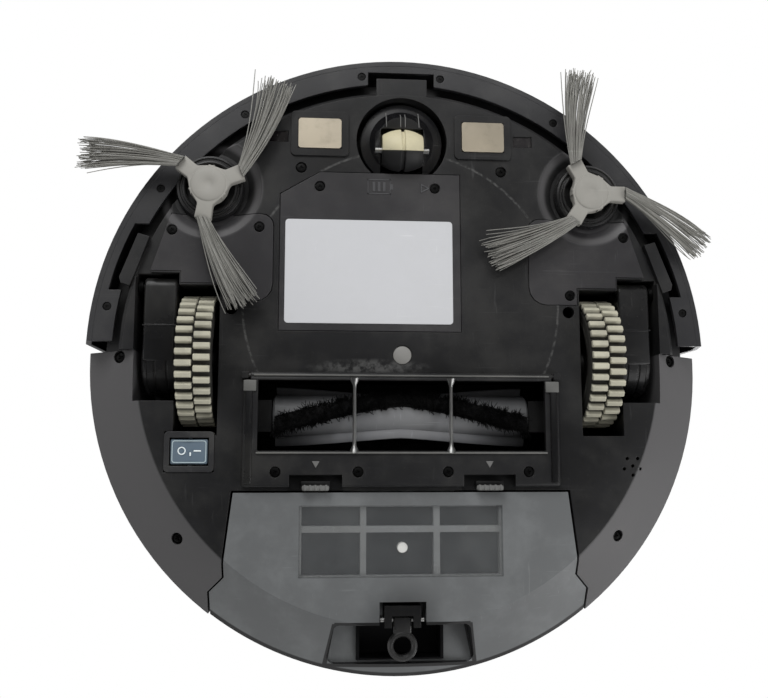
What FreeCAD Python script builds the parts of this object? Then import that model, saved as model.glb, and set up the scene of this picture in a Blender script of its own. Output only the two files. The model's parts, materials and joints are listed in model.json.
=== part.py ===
import FreeCAD, Part
import math
import os
import Sketcher
from FreeCAD import Placement, Rotation, Vector

# Robot vacuum, in millimetres. +Z is up, the front (bumper) looks along -Y and the dust tank
# slides out along +Y. The origin is on the floor, under the middle of the round body.

SIZES = {
    # body
    "body_diameter": 320.0,
    "top_over_wheel": 12.0,
    "base_clearance": 12.0,
    "flat_diameter": 264.0,
    "rim_rise": 20.0,
    "shell_wall": 2.2,
    "split_height": 46.0,
    "seam_gap": 0.3,
    # front, behind the bumper
    "front_foot_diameter": 283.0,
    "front_wall_diameter": 300.0,
    "shoulder_place": -3.5,
    "brim_drop": 8.0,
    "brim_chamfer": 5.0,
    # bumper
    "bumper_diameter": 324.0,
    "bumper_offset": 2.0,
    "bumper_wall": 2.6,
    "bumper_end": -8.0,
    "bumper_foot": 15.6,
    "flange_width": 12.0,
    "flange_thick": 2.4,
    "bumper_top_gap": 1.0,
    # drive wheels
    "wheel_diameter": 68.0,
    "wheel_track": 207.0,
    "tyre_width": 17.5,
    "tyre_depth": 8.0,
    "well_width": 42.0,
    "well_inner": 92.0,
    "well_front": 42.5,
    "arm_well_back": 22.0,
    "room_before_tyre": 2.5,
    "room_behind_tyre": 5.0,
    "room_over_tyre": 4.0,
    "gear_case_radius": 18.4,
    "ledge_top": 117.5,
    "ledge_foot": 127.0,
    "ledge_depth": 4.0,
    "arm_length": 36.0,
    "pivot_over_base": 8.5,
    "housing_width": 17.5,
    "axle_diameter": 6.0,
    # caster
    "caster_place": 114.4,
    "socket_diameter": 47.4,
    "socket_depth": 22.0,
    "dome_diameter": 43.0,
    "caster_diameter": 21.6,
    "caster_width": 21.0,
    "caster_trail": 5.8,
    # side brushes
    "side_brush_x": 98.6,
    "side_brush_y": 87.2,
    "side_hub_diameter": 22.0,
    "side_hub_foot": 5.4,
    "dish_diameter": 53.0,
    "dish_depth": 3.8,
    "tuft_reach": 65.0,
    # main brush and its guard
    "brush_place": 29.0,
    "brush_drop": 0.9,
    "brush_diameter": 31.0,
    "core_diameter": 22.6,
    "brush_length": 130.0,
    "bay_length": 152.0,
    "guard_length": 160.4,
    "guard_front": 7.6,
    "guard_back": 64.2,
    "guard_thick": 3.2,
    "window_length": 144.0,
    "window_front": 11.5,
    "window_back": 46.6,
    "wire_diameter": 1.7,
    # battery
    "cover_left": -62.6,
    "cover_right": 30.2,
    "cover_front": -96.6,
    "cover_back": -13.8,
    "cover_thick": 2.0,
    "battery_height": 23.0,
    # charging contacts
    "contact_x": 42.7,
    "contact_y": 117.2,
    "contact_length": 22.2,
    "contact_width": 16.0,
    # dust tank
    "tank_front": 67.0,
    "tank_front_width": 167.0,
    "tank_back_width": 191.0,
    "tank_step": 112.0,
    "tank_height": 49.5,
    "tank_wall": 2.0,
    "tank_gap": 1.0,
    "notch_front_width": 67.0,
    "notch_back_width": 76.0,
    "notch_front": 130.8,
    "notch_back": 152.3,
    "notch_ceiling": 32.0,
    "filter_thick": 7.0,
    # switch and buttons
    "switch_x": -105.2,
    "switch_behind_tyre": 13.0,
    "switch_length": 24.4,
    "switch_width": 20.0,
    "button_diameter": 17.0,
    "button_spread": 15.0,
    "button_y": -84.0,
    "plate_diameter": 236.0,
}

doc = FreeCAD.newDocument("robot_vacuum")
sheet = doc.addObject("Spreadsheet::Sheet", "Sizes")
for row, (alias, number) in enumerate(SIZES.items(), start=1):
    sheet.set("A%d" % row, alias)
    sheet.set("B%d" % row, str(number))
    sheet.setAlias("B%d" % row, alias)
doc.recompute()


class Length:
    """A length that knows its value and the spreadsheet formula that gives it."""

    def __init__(self, text, value):
        self.text = text
        self.value = value

    def joined(self, other, sign, value):
        return Length("(%s %s %s)" % (self.text, sign, as_length(other).text), value)

    def __add__(self, other):
        return self.joined(other, "+", self.value + float(other))

    def __sub__(self, other):
        return self.joined(other, "-", self.value - float(other))

    def __mul__(self, other):
        return self.joined(other, "*", self.value * float(other))

    def __truediv__(self, other):
        return self.joined(other, "/", self.value / float(other))

    def __neg__(self):
        return Length("(0 - %s)" % self.text, -self.value)

    def __radd__(self, other):
        return as_length(other) + self

    def __rsub__(self, other):
        return as_length(other) - self

    def __rmul__(self, other):
        return as_length(other) * self

    def __float__(self):
        return float(self.value)


def as_length(number):
    if isinstance(number, Length):
        return number
    return Length("(%.6f)" % number, float(number))


def size(alias):
    return Length("Sizes." + alias, float(sheet.get(alias)))


def bind(thing, prop, length):
    """Set a property from a length, and keep it tied to the spreadsheet."""
    length = as_length(length)
    thing.setExpression(prop, length.text)


def put(thing, x, y, z, turn=None):
    """Place an object at x, y, z, tied to the spreadsheet."""
    if turn is not None:
        thing.Placement = Placement(Vector(0, 0, 0), turn)
    for axis, length in zip("xyz", (x, y, z)):
        bind(thing, "Placement.Base." + axis, length)
    return thing


ALONG = {
    "x": Rotation(Vector(0, 1, 0), 90),
    "y": Rotation(Vector(1, 0, 0), -90),
    "z": Rotation(),
}
BOTH_SIDES = (("left", -1), ("right", 1))


def box(name, low, extent):
    solid = doc.addObject("Part::Box", name)
    for prop, length in zip(("Length", "Width", "Height"), extent):
        bind(solid, prop, length)
    return put(solid, *low)


def rod(name, foot, radius, height, along="z"):
    solid = doc.addObject("Part::Cylinder", name)
    bind(solid, "Radius", radius)
    bind(solid, "Height", height)
    return put(solid, foot[0], foot[1], foot[2], ALONG[along])


def cone(name, foot, radius_low, radius_high, height, along="z"):
    solid = doc.addObject("Part::Cone", name)
    bind(solid, "Radius1", radius_low)
    bind(solid, "Radius2", radius_high)
    bind(solid, "Height", height)
    return put(solid, foot[0], foot[1], foot[2], ALONG[along])


def ring(name, centre, radius, wire_radius, along="z"):
    solid = doc.addObject("Part::Torus", name)
    bind(solid, "Radius1", radius)
    bind(solid, "Radius2", wire_radius)
    return put(solid, centre[0], centre[1], centre[2], ALONG[along])


def fuse(name, solids):
    joined = doc.addObject("Part::MultiFuse", name)
    joined.Shapes = solids
    return joined


def group(name, solids):
    """Separate solids that make one node, such as a set of screws."""
    gathered = doc.addObject("Part::Compound", name)
    gathered.Links = solids
    return gathered


def cut(name, base, tools):
    result = doc.addObject("Part::Cut", name)
    result.Base = base
    result.Tool = tools[0] if len(tools) == 1 else fuse(name + "_cutters", tools)
    return result


def common(name, first, second):
    result = doc.addObject("Part::MultiCommon", name)
    result.Shapes = [first, second]
    return result


def rounded(name, solid, radius, along="z"):
    """Round the edges of a block that run along one axis."""
    doc.recompute()
    direction = {"x": Vector(1, 0, 0), "y": Vector(0, 1, 0), "z": Vector(0, 0, 1)}[along]
    edges = []
    for number, edge in enumerate(solid.Shape.Edges, start=1):
        if isinstance(edge.Curve, Part.Line) and abs(edge.Curve.Direction.dot(direction)) > 0.999:
            edges.append((number, float(radius), float(radius)))
    result = doc.addObject("Part::Fillet", name)
    result.Base = solid
    result.Edges = edges
    return result


def origin_plane(body, role):
    for feature in body.Origin.OriginFeatures:
        if feature.Role == role:
            return feature
    raise ValueError("no plane " + role)


def outline_sketch(body, name, role, points):
    """A closed outline whose corners are tied to the spreadsheet."""
    sketch = body.newObject("Sketcher::SketchObject", name)
    sketch.AttachmentSupport = [(origin_plane(body, role), "")]
    sketch.MapMode = "FlatFace"
    corners = [Vector(float(u), float(v), 0) for u, v in points]
    for start, end in zip(corners, corners[1:] + corners[:1]):
        sketch.addGeometry(Part.LineSegment(start, end), False)
    count = len(points)
    for index in range(count):
        following = (index + 1) % count
        sketch.addConstraint(Sketcher.Constraint("Coincident", index, 2, following, 1))
    for index, (u, v) in enumerate(points):
        for kind, length in (("DistanceX", u), ("DistanceY", v)):
            length = as_length(length)
            number = sketch.addConstraint(
                Sketcher.Constraint(kind, -1, 1, index, 1, float(length)))
            sketch.setExpression("Constraints[%d]" % number, length.text)
    return sketch


def plate(name, points, foot, height):
    """A flat piece: an outline seen from above, padded upwards from foot."""
    body = doc.addObject("PartDesign::Body", name)
    sketch = outline_sketch(body, name + "_outline", "XY_Plane", points)
    pad = body.newObject("PartDesign::Pad", name + "_pad")
    pad.Profile = sketch
    bind(pad, "Length", height)
    sketch.Visibility = False
    return put(body, 0, 0, foot)


def side_plate(name, points, start, width):
    """A piece whose outline is seen along X (points are y, z), padded from start along X."""
    body = doc.addObject("PartDesign::Body", name)
    sketch = outline_sketch(body, name + "_outline", "YZ_Plane", points)
    pad = body.newObject("PartDesign::Pad", name + "_pad")
    pad.Profile = sketch
    bind(pad, "Length", width)
    sketch.Visibility = False
    return put(body, start, 0, 0)


def turned(name, points, centre=(0, 0, 0), along="z"):
    """A turned piece: a half section (radius, height) revolved about its own axis."""
    body = doc.addObject("PartDesign::Body", name)
    sketch = outline_sketch(body, name + "_section", "XZ_Plane", points)
    revolution = body.newObject("PartDesign::Revolution", name + "_turn")
    revolution.Profile = sketch
    revolution.ReferenceAxis = (sketch, ["V_Axis"])
    revolution.Angle = 360
    sketch.Visibility = False
    return put(body, centre[0], centre[1], centre[2], ALONG[along])


def mirrored_points(points):
    return [(-u, v) for u, v in reversed(points)]


PARTS = []


def part(label, solid):
    """Give the finished solid the name that its file gets."""
    solid.Label = label
    PARTS.append(solid)
    return solid


# ---------------------------------------------------------------- shared places

RIM = size("body_diameter") / 2
TOP = size("wheel_diameter") + size("top_over_wheel")
BASE = size("base_clearance")
FLAT = size("flat_diameter") / 2
WALL = size("shell_wall")
SPLIT = size("split_height")
GAP = size("seam_gap")
RIM_FOOT = BASE + size("rim_rise")
FLOOR_TOP = BASE + WALL
BRIM_FOOT = TOP - size("brim_drop")
FRONT_FOOT = size("front_foot_diameter") / 2
FRONT_WALL = size("front_wall_diameter") / 2
SHOULDER = size("shoulder_place")
REACH = size("body_diameter")
BUMPER = size("bumper_diameter") / 2
BUMPER_Y = -size("bumper_offset")
WHEEL = size("wheel_diameter") / 2
WHEEL_X = size("wheel_track") / 2
TYRE = size("tyre_width")
WELL_IN = size("well_inner")
WELL = size("well_width")
LEDGE_TOP = size("ledge_top")
LEDGE_FOOT = size("ledge_foot")
WELL_OUT = WELL_IN + WELL
WELL_TOP = size("wheel_diameter") + size("room_over_tyre")
WELL_BACK = WHEEL + size("room_behind_tyre")
TYRE_SLOT_FRONT = WHEEL + size("room_before_tyre")
PIVOT_Y = -size("arm_length")
PIVOT_Z = BASE + size("pivot_over_base")
HOUSING = size("housing_width")
HOUSING_IN = WHEEL_X + TYRE / 2 + 1.2
AXLE = size("axle_diameter") / 2
CASTER_Y = -size("caster_place")
SOCKET = size("socket_diameter") / 2
DOME = size("dome_diameter") / 2
CASTER = size("caster_diameter") / 2
BRUSH_X = size("side_brush_x")
BRUSH_Y = -size("side_brush_y")
HUB = size("side_hub_diameter") / 2
ROLLER_Y = size("brush_place")
ROLLER = size("brush_diameter") / 2
ROLLER_Z = BASE - size("brush_drop") + ROLLER
CORE = size("core_diameter") / 2
BAY = size("bay_length") / 2
BAY_FRONT = ROLLER_Y - ROLLER - 2.9
BAY_DEPTH = ROLLER * 2 + 9.5
GUARD = size("guard_length") / 2
GUARD_THICK = size("guard_thick")
GUARD_FOOT = BASE - GUARD_THICK - 0.1
GUARD_HINGE_Y = size("guard_front") + GUARD_THICK / 2
GUARD_HINGE_Z = GUARD_FOOT + GUARD_THICK / 2
COVER = size("cover_thick")
CONTACT_X = size("contact_x")
CONTACT_Y = -size("contact_y")
TANK_FRONT = size("tank_front")
TANK_STEP = size("tank_step")
TANK_FOOT = BASE + GAP
TANK_TOP = TANK_FOOT + size("tank_height")
TANK_GAP = size("tank_gap")
TANK_WALL = size("tank_wall")
PLATE = size("plate_diameter") / 2
PLATE_THICK = 1.2
SCREW_HOLE = 2.8
SWITCH_Y = WHEEL + size("switch_behind_tyre")
PIN = 2.5
FIT = 0.05


# ---------------------------------------------------------------- base shell

def cover_outline(inset):
    """The battery cover seen from above, pulled in by inset; one front corner is cut off."""
    left = size("cover_left") + inset
    right = size("cover_right") - inset
    front = size("cover_front") + inset
    back = size("cover_back") - inset
    bevel = 12.0
    return [(left, front + bevel), (left + bevel + 8, front), (right, front), (right, back), (left, back)]


def corner(x, y, radius, start):
    """Points of a quarter turn about (x, y) that begins at the angle start."""
    points = []
    for index in range(5):
        angle = math.radians(start + index * 22.5)
        points.append((x + radius * math.cos(angle), y + radius * math.sin(angle)))
    return points


def wheel_panel_outline(inset):
    """The right wheel's cover panel seen from above: an L beside and before the well."""
    inner = WELL_IN - 26 + inset
    front = BRUSH_Y + 13.6 + inset
    slot_front = -size("well_front") - 1 - inset
    tyre_front = -TYRE_SLOT_FRONT - 1 - inset
    tyre_side = HOUSING_IN - 1.6
    well_side = WELL_IN - 1 - inset
    back = -28.5 - inset
    return corner(inner + 6, front + 6, 6, 180) + [
        (LEDGE_TOP - inset, front),
        (LEDGE_FOOT - inset, slot_front),
        (tyre_side, slot_front),
        (tyre_side, tyre_front),
        (well_side, tyre_front),
        (well_side, back),
    ] + corner(inner + 9, back - 9, 9, 90)


def ledge_outline():
    """The lower step between the flat floor and the bumper, beside the side brush (right side)."""
    return [
        (LEDGE_TOP + 0.4, BRUSH_Y + 3),
        (LEDGE_TOP + 0.4, BRUSH_Y + 13.6),
        (LEDGE_FOOT + 0.4, -size("well_front") + 2),
        (FRONT_FOOT + 12, -size("well_front") + 2),
        (FRONT_FOOT + 12, -30),
        (FRONT_FOOT + 20, BRUSH_Y + 3),
    ]


def handed(side, points):
    """The same outline on the left or the right side."""
    if side > 0:
        return points
    return mirrored_points(points)


def dish(name, side, grow, foot, height):
    """The round hollow about a side brush: wide at the floor, narrower inside."""
    wide = size("dish_diameter") / 2 + grow
    return cone(name, (side * BRUSH_X, BRUSH_Y, foot), wide, wide - 7.5, height)


def tank_outline(grow, back):
    """The right half of the tank's outline, made symmetric; the tank widens to the rear."""
    front_half = size("tank_front_width") / 2 + grow
    back_half = size("tank_back_width") / 2 + grow
    front = TANK_FRONT - grow
    neck = front_half + 4
    half = [(front_half, front), (neck, TANK_STEP - 11), (neck, TANK_STEP - 4), (back_half, TANK_STEP + 4),
            (back_half, back)]
    return half + mirrored_points(half)


def rear_section():
    return [(0, BASE), (FLAT, BASE), (RIM, RIM_FOOT), (RIM, SPLIT), (RIM - WALL, SPLIT),
            (RIM - WALL, RIM_FOOT + WALL * 0.4), (FLAT - WALL * 0.3, FLOOR_TOP), (0, FLOOR_TOP)]


def front_section():
    step = BASE + 9
    return [(0, BASE), (FRONT_FOOT - 2, BASE), (FRONT_FOOT, BASE + 2), (FRONT_FOOT, step),
            (FRONT_WALL, step + 3), (FRONT_WALL, SPLIT), (FRONT_WALL - WALL, SPLIT),
            (FRONT_WALL - WALL, step + 4), (FRONT_FOOT - WALL, step + 1), (FRONT_FOOT - WALL, FLOOR_TOP),
            (0, FLOOR_TOP)]


def rear_envelope(name):
    """Everything that the round rear of the body may fill, up to the underside of the top."""
    inner = RIM - WALL - 1
    return turned(name, [(0, BASE), (FLAT, BASE), (RIM, RIM_FOOT), (RIM, SPLIT), (inner, SPLIT),
                         (inner, TOP - WALL * 2), (0, TOP - WALL * 2)])


def front_envelope(name):
    inner = FRONT_WALL - WALL - 1
    step = BASE + 9
    return turned(name, [(0, BASE), (FRONT_FOOT - 2, BASE), (FRONT_FOOT, BASE + 2), (FRONT_FOOT, step),
                         (FRONT_WALL, step + 3), (FRONT_WALL, SPLIT), (inner, SPLIT),
                         (inner, TOP - WALL * 2), (0, TOP - WALL * 2)])


def rear_half(name, solid):
    keep = box(name + "_keep", (-REACH, SHOULDER, -5), (REACH * 2, REACH, TOP + 10))
    return common(name, solid, keep)


def front_half(name, solid):
    keep = box(name + "_keep", (-REACH, SHOULDER - REACH, -5), (REACH * 2, REACH, TOP + 10))
    return common(name, solid, keep)


def well_space(name, side, grow, foot, top):
    """The wheel well: a slot for the tyre, and a shorter one outside it for the swing arm."""
    slots = []
    for label, low, high, front, back in (
            ("tyre_slot", WELL_IN, HOUSING_IN, TYRE_SLOT_FRONT, WELL_BACK),
            ("arm_slot", HOUSING_IN - 1, WELL_OUT, size("well_front"), size("arm_well_back"))):
        width = high - low + grow * 2
        start = low - grow if side > 0 else -(high + grow)
        slots.append(box("%s_%s" % (name, label), (start, -front - grow, foot),
                         (width, front + back + grow * 2, top - foot)))
    return slots


def deep_screws():
    """Screws at the bottom of deep holes in the base: (x, y) and the radius of the hole."""
    places = []
    for _, side in BOTH_SIDES:
        places.append((side * 142.2, -0.4, 3.2))
        places.append((side * 111.0, 89.4, 3.0))
        places.append((side * (WELL_IN.value - 5.7), -24.5, 3.0))
    return places


def front_screws():
    """Shallow screws in the flat floor, behind the charging contacts."""
    return [(side * 52.2, -98.9) for _, side in BOTH_SIDES]


COVER_SCREWS = [(-42.5, -89.2), (17.2, -89.2)]
LEFT_PANEL_SCREWS = [(-73.2, -67.0), (-117.0, -64.7)]
RIGHT_PANEL_SCREWS = [(87.4, -33.4), (116.8, -64.7)]


def plate_screws(name, places):
    """Holes for screws that sit below the face of a thin plate."""
    return [rod("%s_screw_hole_%d" % (name, index), (x, y, BASE - 1), SCREW_HOLE, 2.3)
            for index, (x, y) in enumerate(places)]


def make_base_shell():
    additions = [
        rear_half("base_rear", turned("base_rear_turned", rear_section())),
        front_half("base_front", turned("base_front_turned", front_section())),
    ]
    housings = []
    for side_name, side in BOTH_SIDES:
        housings.extend(well_space(side_name + "_walls", side, WALL, BASE, WELL_TOP + WALL * 0.8))
        housings.append(dish(side_name + "_dish_walls", side, WALL, BASE, size("dish_depth") + WALL))
        ledge = plate(side_name + "_ledge_block", handed(side, ledge_outline()), BASE,
                      size("ledge_depth") + WALL)
        housings.append(ledge)
        shoulder_low = WELL_OUT if side > 0 else -RIM
        housings.append(box(side_name + "_shoulder_wall", (shoulder_low, SHOULDER, BASE),
                            (RIM - WELL_OUT, WALL, SPLIT - BASE)))
        boss_low = WELL_OUT if side > 0 else -(WELL_OUT + 6)
        housings.append(rod(side_name + "_pivot_boss", (boss_low, PIVOT_Y, PIVOT_Z), 6, 6, "x"))
    housings.append(rod("socket_walls", (0, CASTER_Y, BASE), SOCKET + WALL, size("socket_depth") + WALL))
    housings.append(box("bay_walls", (-BAY - WALL, BAY_FRONT - 2, BASE),
                        ((BAY + WALL) * 2, BAY_DEPTH + 4, ROLLER_Z + ROLLER + 3.6 - BASE)))
    housings.append(box("duct_walls", (-32, 50, BASE + 10), (64, 15, 20)))
    cover_left = size("cover_left")
    cover_front = size("cover_front")
    cover_length = size("cover_right") - cover_left
    cover_depth = size("cover_back") - cover_front
    housings.append(box("cover_ledge", (cover_left - 2.2, cover_front - 2.2, BASE),
                        (cover_length + 4.4, cover_depth + 4.4, COVER + 2.4)))
    housings.append(box("battery_walls", (cover_left + 2, cover_front + 9.5, BASE),
                        (cover_length - 4, cover_depth - 13, COVER + size("battery_height") + 5)))
    tank_walls = plate("tank_bay_walls", tank_outline(TANK_GAP + WALL, RIM), BASE, TANK_TOP + 3 - BASE)
    housings.append(tank_walls)
    for index, (x, y, radius) in enumerate(deep_screws()):
        housings.append(rod("deep_screw_boss_%d" % index, (x, y, BASE), radius + 1.8, 15))
    block = fuse("housings", housings)
    envelope = fuse("envelope", [rear_half("rear_space", rear_envelope("rear_space_turned")),
                                 front_half("front_space", front_envelope("front_space_turned"))])
    additions.append(common("housings_trimmed", block, envelope))
    additions.append(box("front_tab", (-13.3, -FRONT_FOOT - 7.2, BASE + 0.4), (26.6, 12, 2.4)))
    for side_name, side in BOTH_SIDES:
        pad_low = side * CONTACT_X - 15
        frame_block = box(side_name + "_contact_frame", (pad_low, CONTACT_Y - 12, BASE - 0.9), (30, 24, 3.4))
        additions.append(rounded(side_name + "_contact_frame_round", frame_block, 2.5))
    solid = fuse("base_filled", additions)

    cutters = []
    for side_name, side in BOTH_SIDES:
        cutters.extend(well_space(side_name + "_space", side, 0, BASE - 5, WELL_TOP))
        cutters.append(dish(side_name + "_dish", side, 0.5, BASE - 0.25, size("dish_depth") + 0.25))
        cutters.append(rod(side_name + "_spindle_hole", (side * BRUSH_X, BRUSH_Y, BASE), 4.4, 9))
        pivot_low = WELL_OUT - 1 if side > 0 else -(WELL_OUT + 4.5)
        cutters.append(rod(side_name + "_pivot_hole", (pivot_low, PIVOT_Y, PIVOT_Z), PIN, 5.5, "x"))
        contact = box(side_name + "_contact_recess",
                      (side * CONTACT_X - size("contact_length") / 2 - 0.1,
                       CONTACT_Y - size("contact_width") / 2 - 0.1, BASE - 2),
                      (size("contact_length") + 0.2, size("contact_width") + 0.2, 3.2))
        cutters.append(contact)
        cutters.append(plate(side_name + "_panel_opening", handed(side, wheel_panel_outline(-GAP)),
                             BASE - 1, size("dish_depth") + WALL + 1.3))
        cutters.append(plate(side_name + "_ledge", handed(side, ledge_outline()), BASE - 1,
                             size("ledge_depth") + 1))
        cutters.append(box(side_name + "_cliff_window", (side * 64 - 5, -118.5, BASE - 1), (10, 6, 4)))
    cutters.append(rod("socket", (0, CASTER_Y, BASE - 2), SOCKET, size("socket_depth") + 2))
    cutters.append(rod("socket_bearing", (0, CASTER_Y, BASE), 4.3, size("socket_depth") + WALL + 2))
    cutters.append(box("brush_bay", (-BAY, BAY_FRONT, BASE - 1),
                       (BAY * 2, BAY_DEPTH, ROLLER_Z + ROLLER + 1.8 - BASE + 1)))
    cutters.append(box("suction_duct", (-30, 48, BASE + 12), (60, 20, 16)))
    cutters.append(plate("cover_opening", cover_outline(-GAP), BASE - 1, COVER + 1.1))
    cutters.append(box("battery_bay", (cover_left + 4.2, cover_front + 11.7, BASE - 1),
                       (cover_length - 8.4, cover_depth - 17.4, COVER + size("battery_height") + 4)))
    cutters.append(plate("tank_bay", tank_outline(TANK_GAP, RIM + 20), BASE - 1, TANK_TOP + 1 - BASE + 1))
    switch_low = (size("switch_x") - size("switch_length") / 2, SWITCH_Y - size("switch_width") / 2, BASE - 1)
    cutters.append(box("switch_opening", switch_low, (size("switch_length"), size("switch_width"), 8)))
    for index in range(6):
        angle = math.radians(90 + index * 72)
        reach = 4.6 if index < 5 else 0.0
        hole_x = 117.3 + reach * math.cos(angle)
        hole_y = 54.1 + reach * math.sin(angle)
        cutters.append(rod("speaker_hole_%d" % index, (hole_x, hole_y, BASE - 1), 0.9, 7))
    for index, (x, y, radius) in enumerate(deep_screws()):
        cutters.append(rod("deep_screw_hole_%d" % index, (x, y, BASE - 2), radius, 14))
    for index, (x, y) in enumerate(front_screws()):
        cutters.append(rod("front_screw_hole_%d" % index, (x, y, BASE - 2), 2.9, 3.4))
    cutters.append(rod("centre_recess", (0, -1.6, BASE - 1), 5, 2.2))
    hollowed = cut("base_cut", solid, cutters)
    lugs = []
    for side_name, side in BOTH_SIDES:
        lug = [(128.2, -61.1), (133.9, -62.8), (142.4, -40.0), (141.6, -37.2), (137.1, -35.7)]
        lugs.append(plate(side_name + "_stop_lug", handed(side, lug), BASE + 0.6, size("ledge_depth")))
        ear_low = GUARD - 3.4 if side > 0 else -GUARD
        ear = box(side_name + "_guard_ear", (ear_low, GUARD_HINGE_Y - 1.6, GUARD_FOOT),
                  (3.4, 3.2, GUARD_THICK + 1.4))
        bore = rod(side_name + "_guard_ear_bore", (ear_low - 1, GUARD_HINGE_Y, GUARD_HINGE_Z),
                   1.1 + FIT, 5.4, "x")
        lugs.append(cut(side_name + "_guard_ear_bored", ear, [bore]))
    part("base_shell", fuse("base_with_lugs", [hollowed] + lugs))


# ---------------------------------------------------------------- top shell

def make_top_shell():
    chamfer = size("brim_chamfer")
    brim = turned("brim_turned", [
        (0, TOP - WALL * 1.6), (RIM - WALL, TOP - WALL * 1.6 - 1), (RIM - WALL, BRIM_FOOT), (RIM, BRIM_FOOT),
        (RIM, TOP - chamfer), (RIM - chamfer, TOP), (PLATE + GAP, TOP), (PLATE + GAP, TOP - PLATE_THICK),
        (0, TOP - PLATE_THICK)])
    rear_wall = turned("top_rear_turned", [
        (RIM - WALL, SPLIT + 0.05), (RIM, SPLIT + 0.05), (RIM, BRIM_FOOT + 0.5),
        (RIM - WALL, BRIM_FOOT + 0.5)])
    front_wall = turned("top_front_turned", [
        (FRONT_WALL - WALL, SPLIT + 0.05), (FRONT_WALL, SPLIT + 0.05), (FRONT_WALL, TOP - WALL * 1.2),
        (FRONT_WALL - WALL, TOP - WALL * 1.2)])
    pieces = [brim, rear_half("top_rear", rear_wall), front_half("top_front", front_wall)]
    for side_name, side in BOTH_SIDES:
        low = FRONT_WALL - WALL * 2 if side > 0 else -(RIM - WALL * 0.5)
        pieces.append(box(side_name + "_top_shoulder", (low, SHOULDER, SPLIT + 0.05),
                          (RIM - FRONT_WALL + WALL * 1.5, WALL, BRIM_FOOT - SPLIT)))
    cutters = [plate("tank_window", tank_outline(TANK_GAP, RIM + 20), SPLIT - 1, TANK_TOP + 1 - SPLIT + 1)]
    for index, side in enumerate((-1, 1)):
        place = (side * size("button_spread"), size("button_y"), TOP - 8)
        cutters.append(rod("button_hole_%d" % index, place, size("button_diameter") / 2 + 0.3, 12))
    part("top_shell", cut("top_cut", fuse("top_filled", pieces), cutters))


def make_top_plate():
    disc = rod("plate_disc", (0, 0, TOP - PLATE_THICK), PLATE, PLATE_THICK)
    holes = []
    for index, side in enumerate((-1, 1)):
        holes.append(rod("plate_hole_%d" % index, (side * size("button_spread"), size("button_y"), TOP - 8),
                         size("button_diameter") / 2 + 0.3, 12))
    part("top_plate", cut("plate_cut", disc, holes))


def make_buttons():
    for name, side in (("power_button", -1), ("home_button", 1)):
        cap = rod(name + "_cap", (side * size("button_spread"), size("button_y"), TOP - 5),
                  size("button_diameter") / 2, 5.6)
        flange = rod(name + "_flange", (side * size("button_spread"), size("button_y"), TOP - 6.4),
                     size("button_diameter") / 2 + 1.8, 1.6)
        part(name, fuse(name + "_solid", [cap, flange]))


# ---------------------------------------------------------------- bumper

def bumper_sector(name, solid):
    keep = box(name + "_keep", (-REACH, size("bumper_end") - REACH, 0), (REACH * 2, REACH, TOP))
    return common(name, solid, keep)


def make_bumper():
    foot = size("bumper_foot")
    wall = size("bumper_wall")
    top = BRIM_FOOT - size("bumper_top_gap")
    section = [(BUMPER - 4, foot), (BUMPER, foot + 14), (BUMPER, top - 1.5), (BUMPER - 1.5, top),
               (BUMPER - wall, top), (BUMPER - wall, foot + 14.5), (BUMPER - 4 - wall, foot + 0.6),
               (BUMPER - 4 - wall, foot)]
    shell_turned = turned("bumper_turned", section, (0, BUMPER_Y, 0))
    part("bumper_shell", bumper_sector("bumper_wall_sector", shell_turned))
    inner = BUMPER - 4 - wall - size("flange_width") + 2
    outer = BUMPER - 4 - wall - 0.05
    roof = foot + size("flange_thick")
    flange_turned = turned("flange_turned", [(inner, foot), (outer, foot), (outer, roof), (inner, roof)],
                           (0, BUMPER_Y, 0))
    sector = bumper_sector("flange_sector", flange_turned)
    tools = [box("flange_notch", (-17.6, -(BUMPER - 8.5), foot - 1), (35.2, 14, 6))]
    notch_disc = rod("side_notch_disc", (0, BUMPER_Y, foot - 1), BUMPER - 10.4, 6)
    notch_band = box("side_notch_band", (-REACH, -68.5, foot - 1), (REACH * 2, 34.5, 6))
    tools.append(common("side_notches", notch_disc, notch_band))
    screws = []
    for index, (x, y) in enumerate(flange_screws()):
        tools.append(rod("flange_screw_hole_%d" % index, (x, y, foot - 1), 2.2, 1.9))
        screws.append(rod("flange_screw_%d" % index, (x, y, foot + 0.4), 2.1, 0.5))
    part("bumper_flange", cut("flange_cut", sector, tools))
    part("bumper_screws", group("bumper_screw_set", screws))


def flange_screws():
    """Screws spread along the middle of the bumper's flange."""
    middle = BUMPER - 4 - size("bumper_wall") - (size("flange_width") - 2) / 2
    places = []
    for degrees in (8.0, 33.0, 55.5, 81.0):
        for _, side in BOTH_SIDES:
            angle = math.radians(degrees)
            places.append((middle * (side * math.sin(angle)), BUMPER_Y - middle * math.cos(angle)))
    return places


def make_bump_switches():
    cases = []
    for side_name, side in BOTH_SIDES:
        case = box(side_name + "_switch_case", (side * 45 - 8, -FRONT_WALL + 14, FLOOR_TOP + 12), (16, 7, 8))
        cases.append(case)
    part("bump_switches", group("bump_switch_set", cases))


# ---------------------------------------------------------------- wheels and their swing arms

def housing_outline(inset):
    """The front of the gear housing seen along X: (y, z); its rear is a drum about the axle."""
    foot = PIVOT_Z - 5.4 + inset
    roof = WHEEL + 13.4 - inset
    return [(PIVOT_Y - 2, foot), (0, foot), (0, roof), (PIVOT_Y + 4, roof),
            (PIVOT_Y - 5.2 + inset, roof - 10), (PIVOT_Y - 5.2 + inset, PIVOT_Z)]


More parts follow.
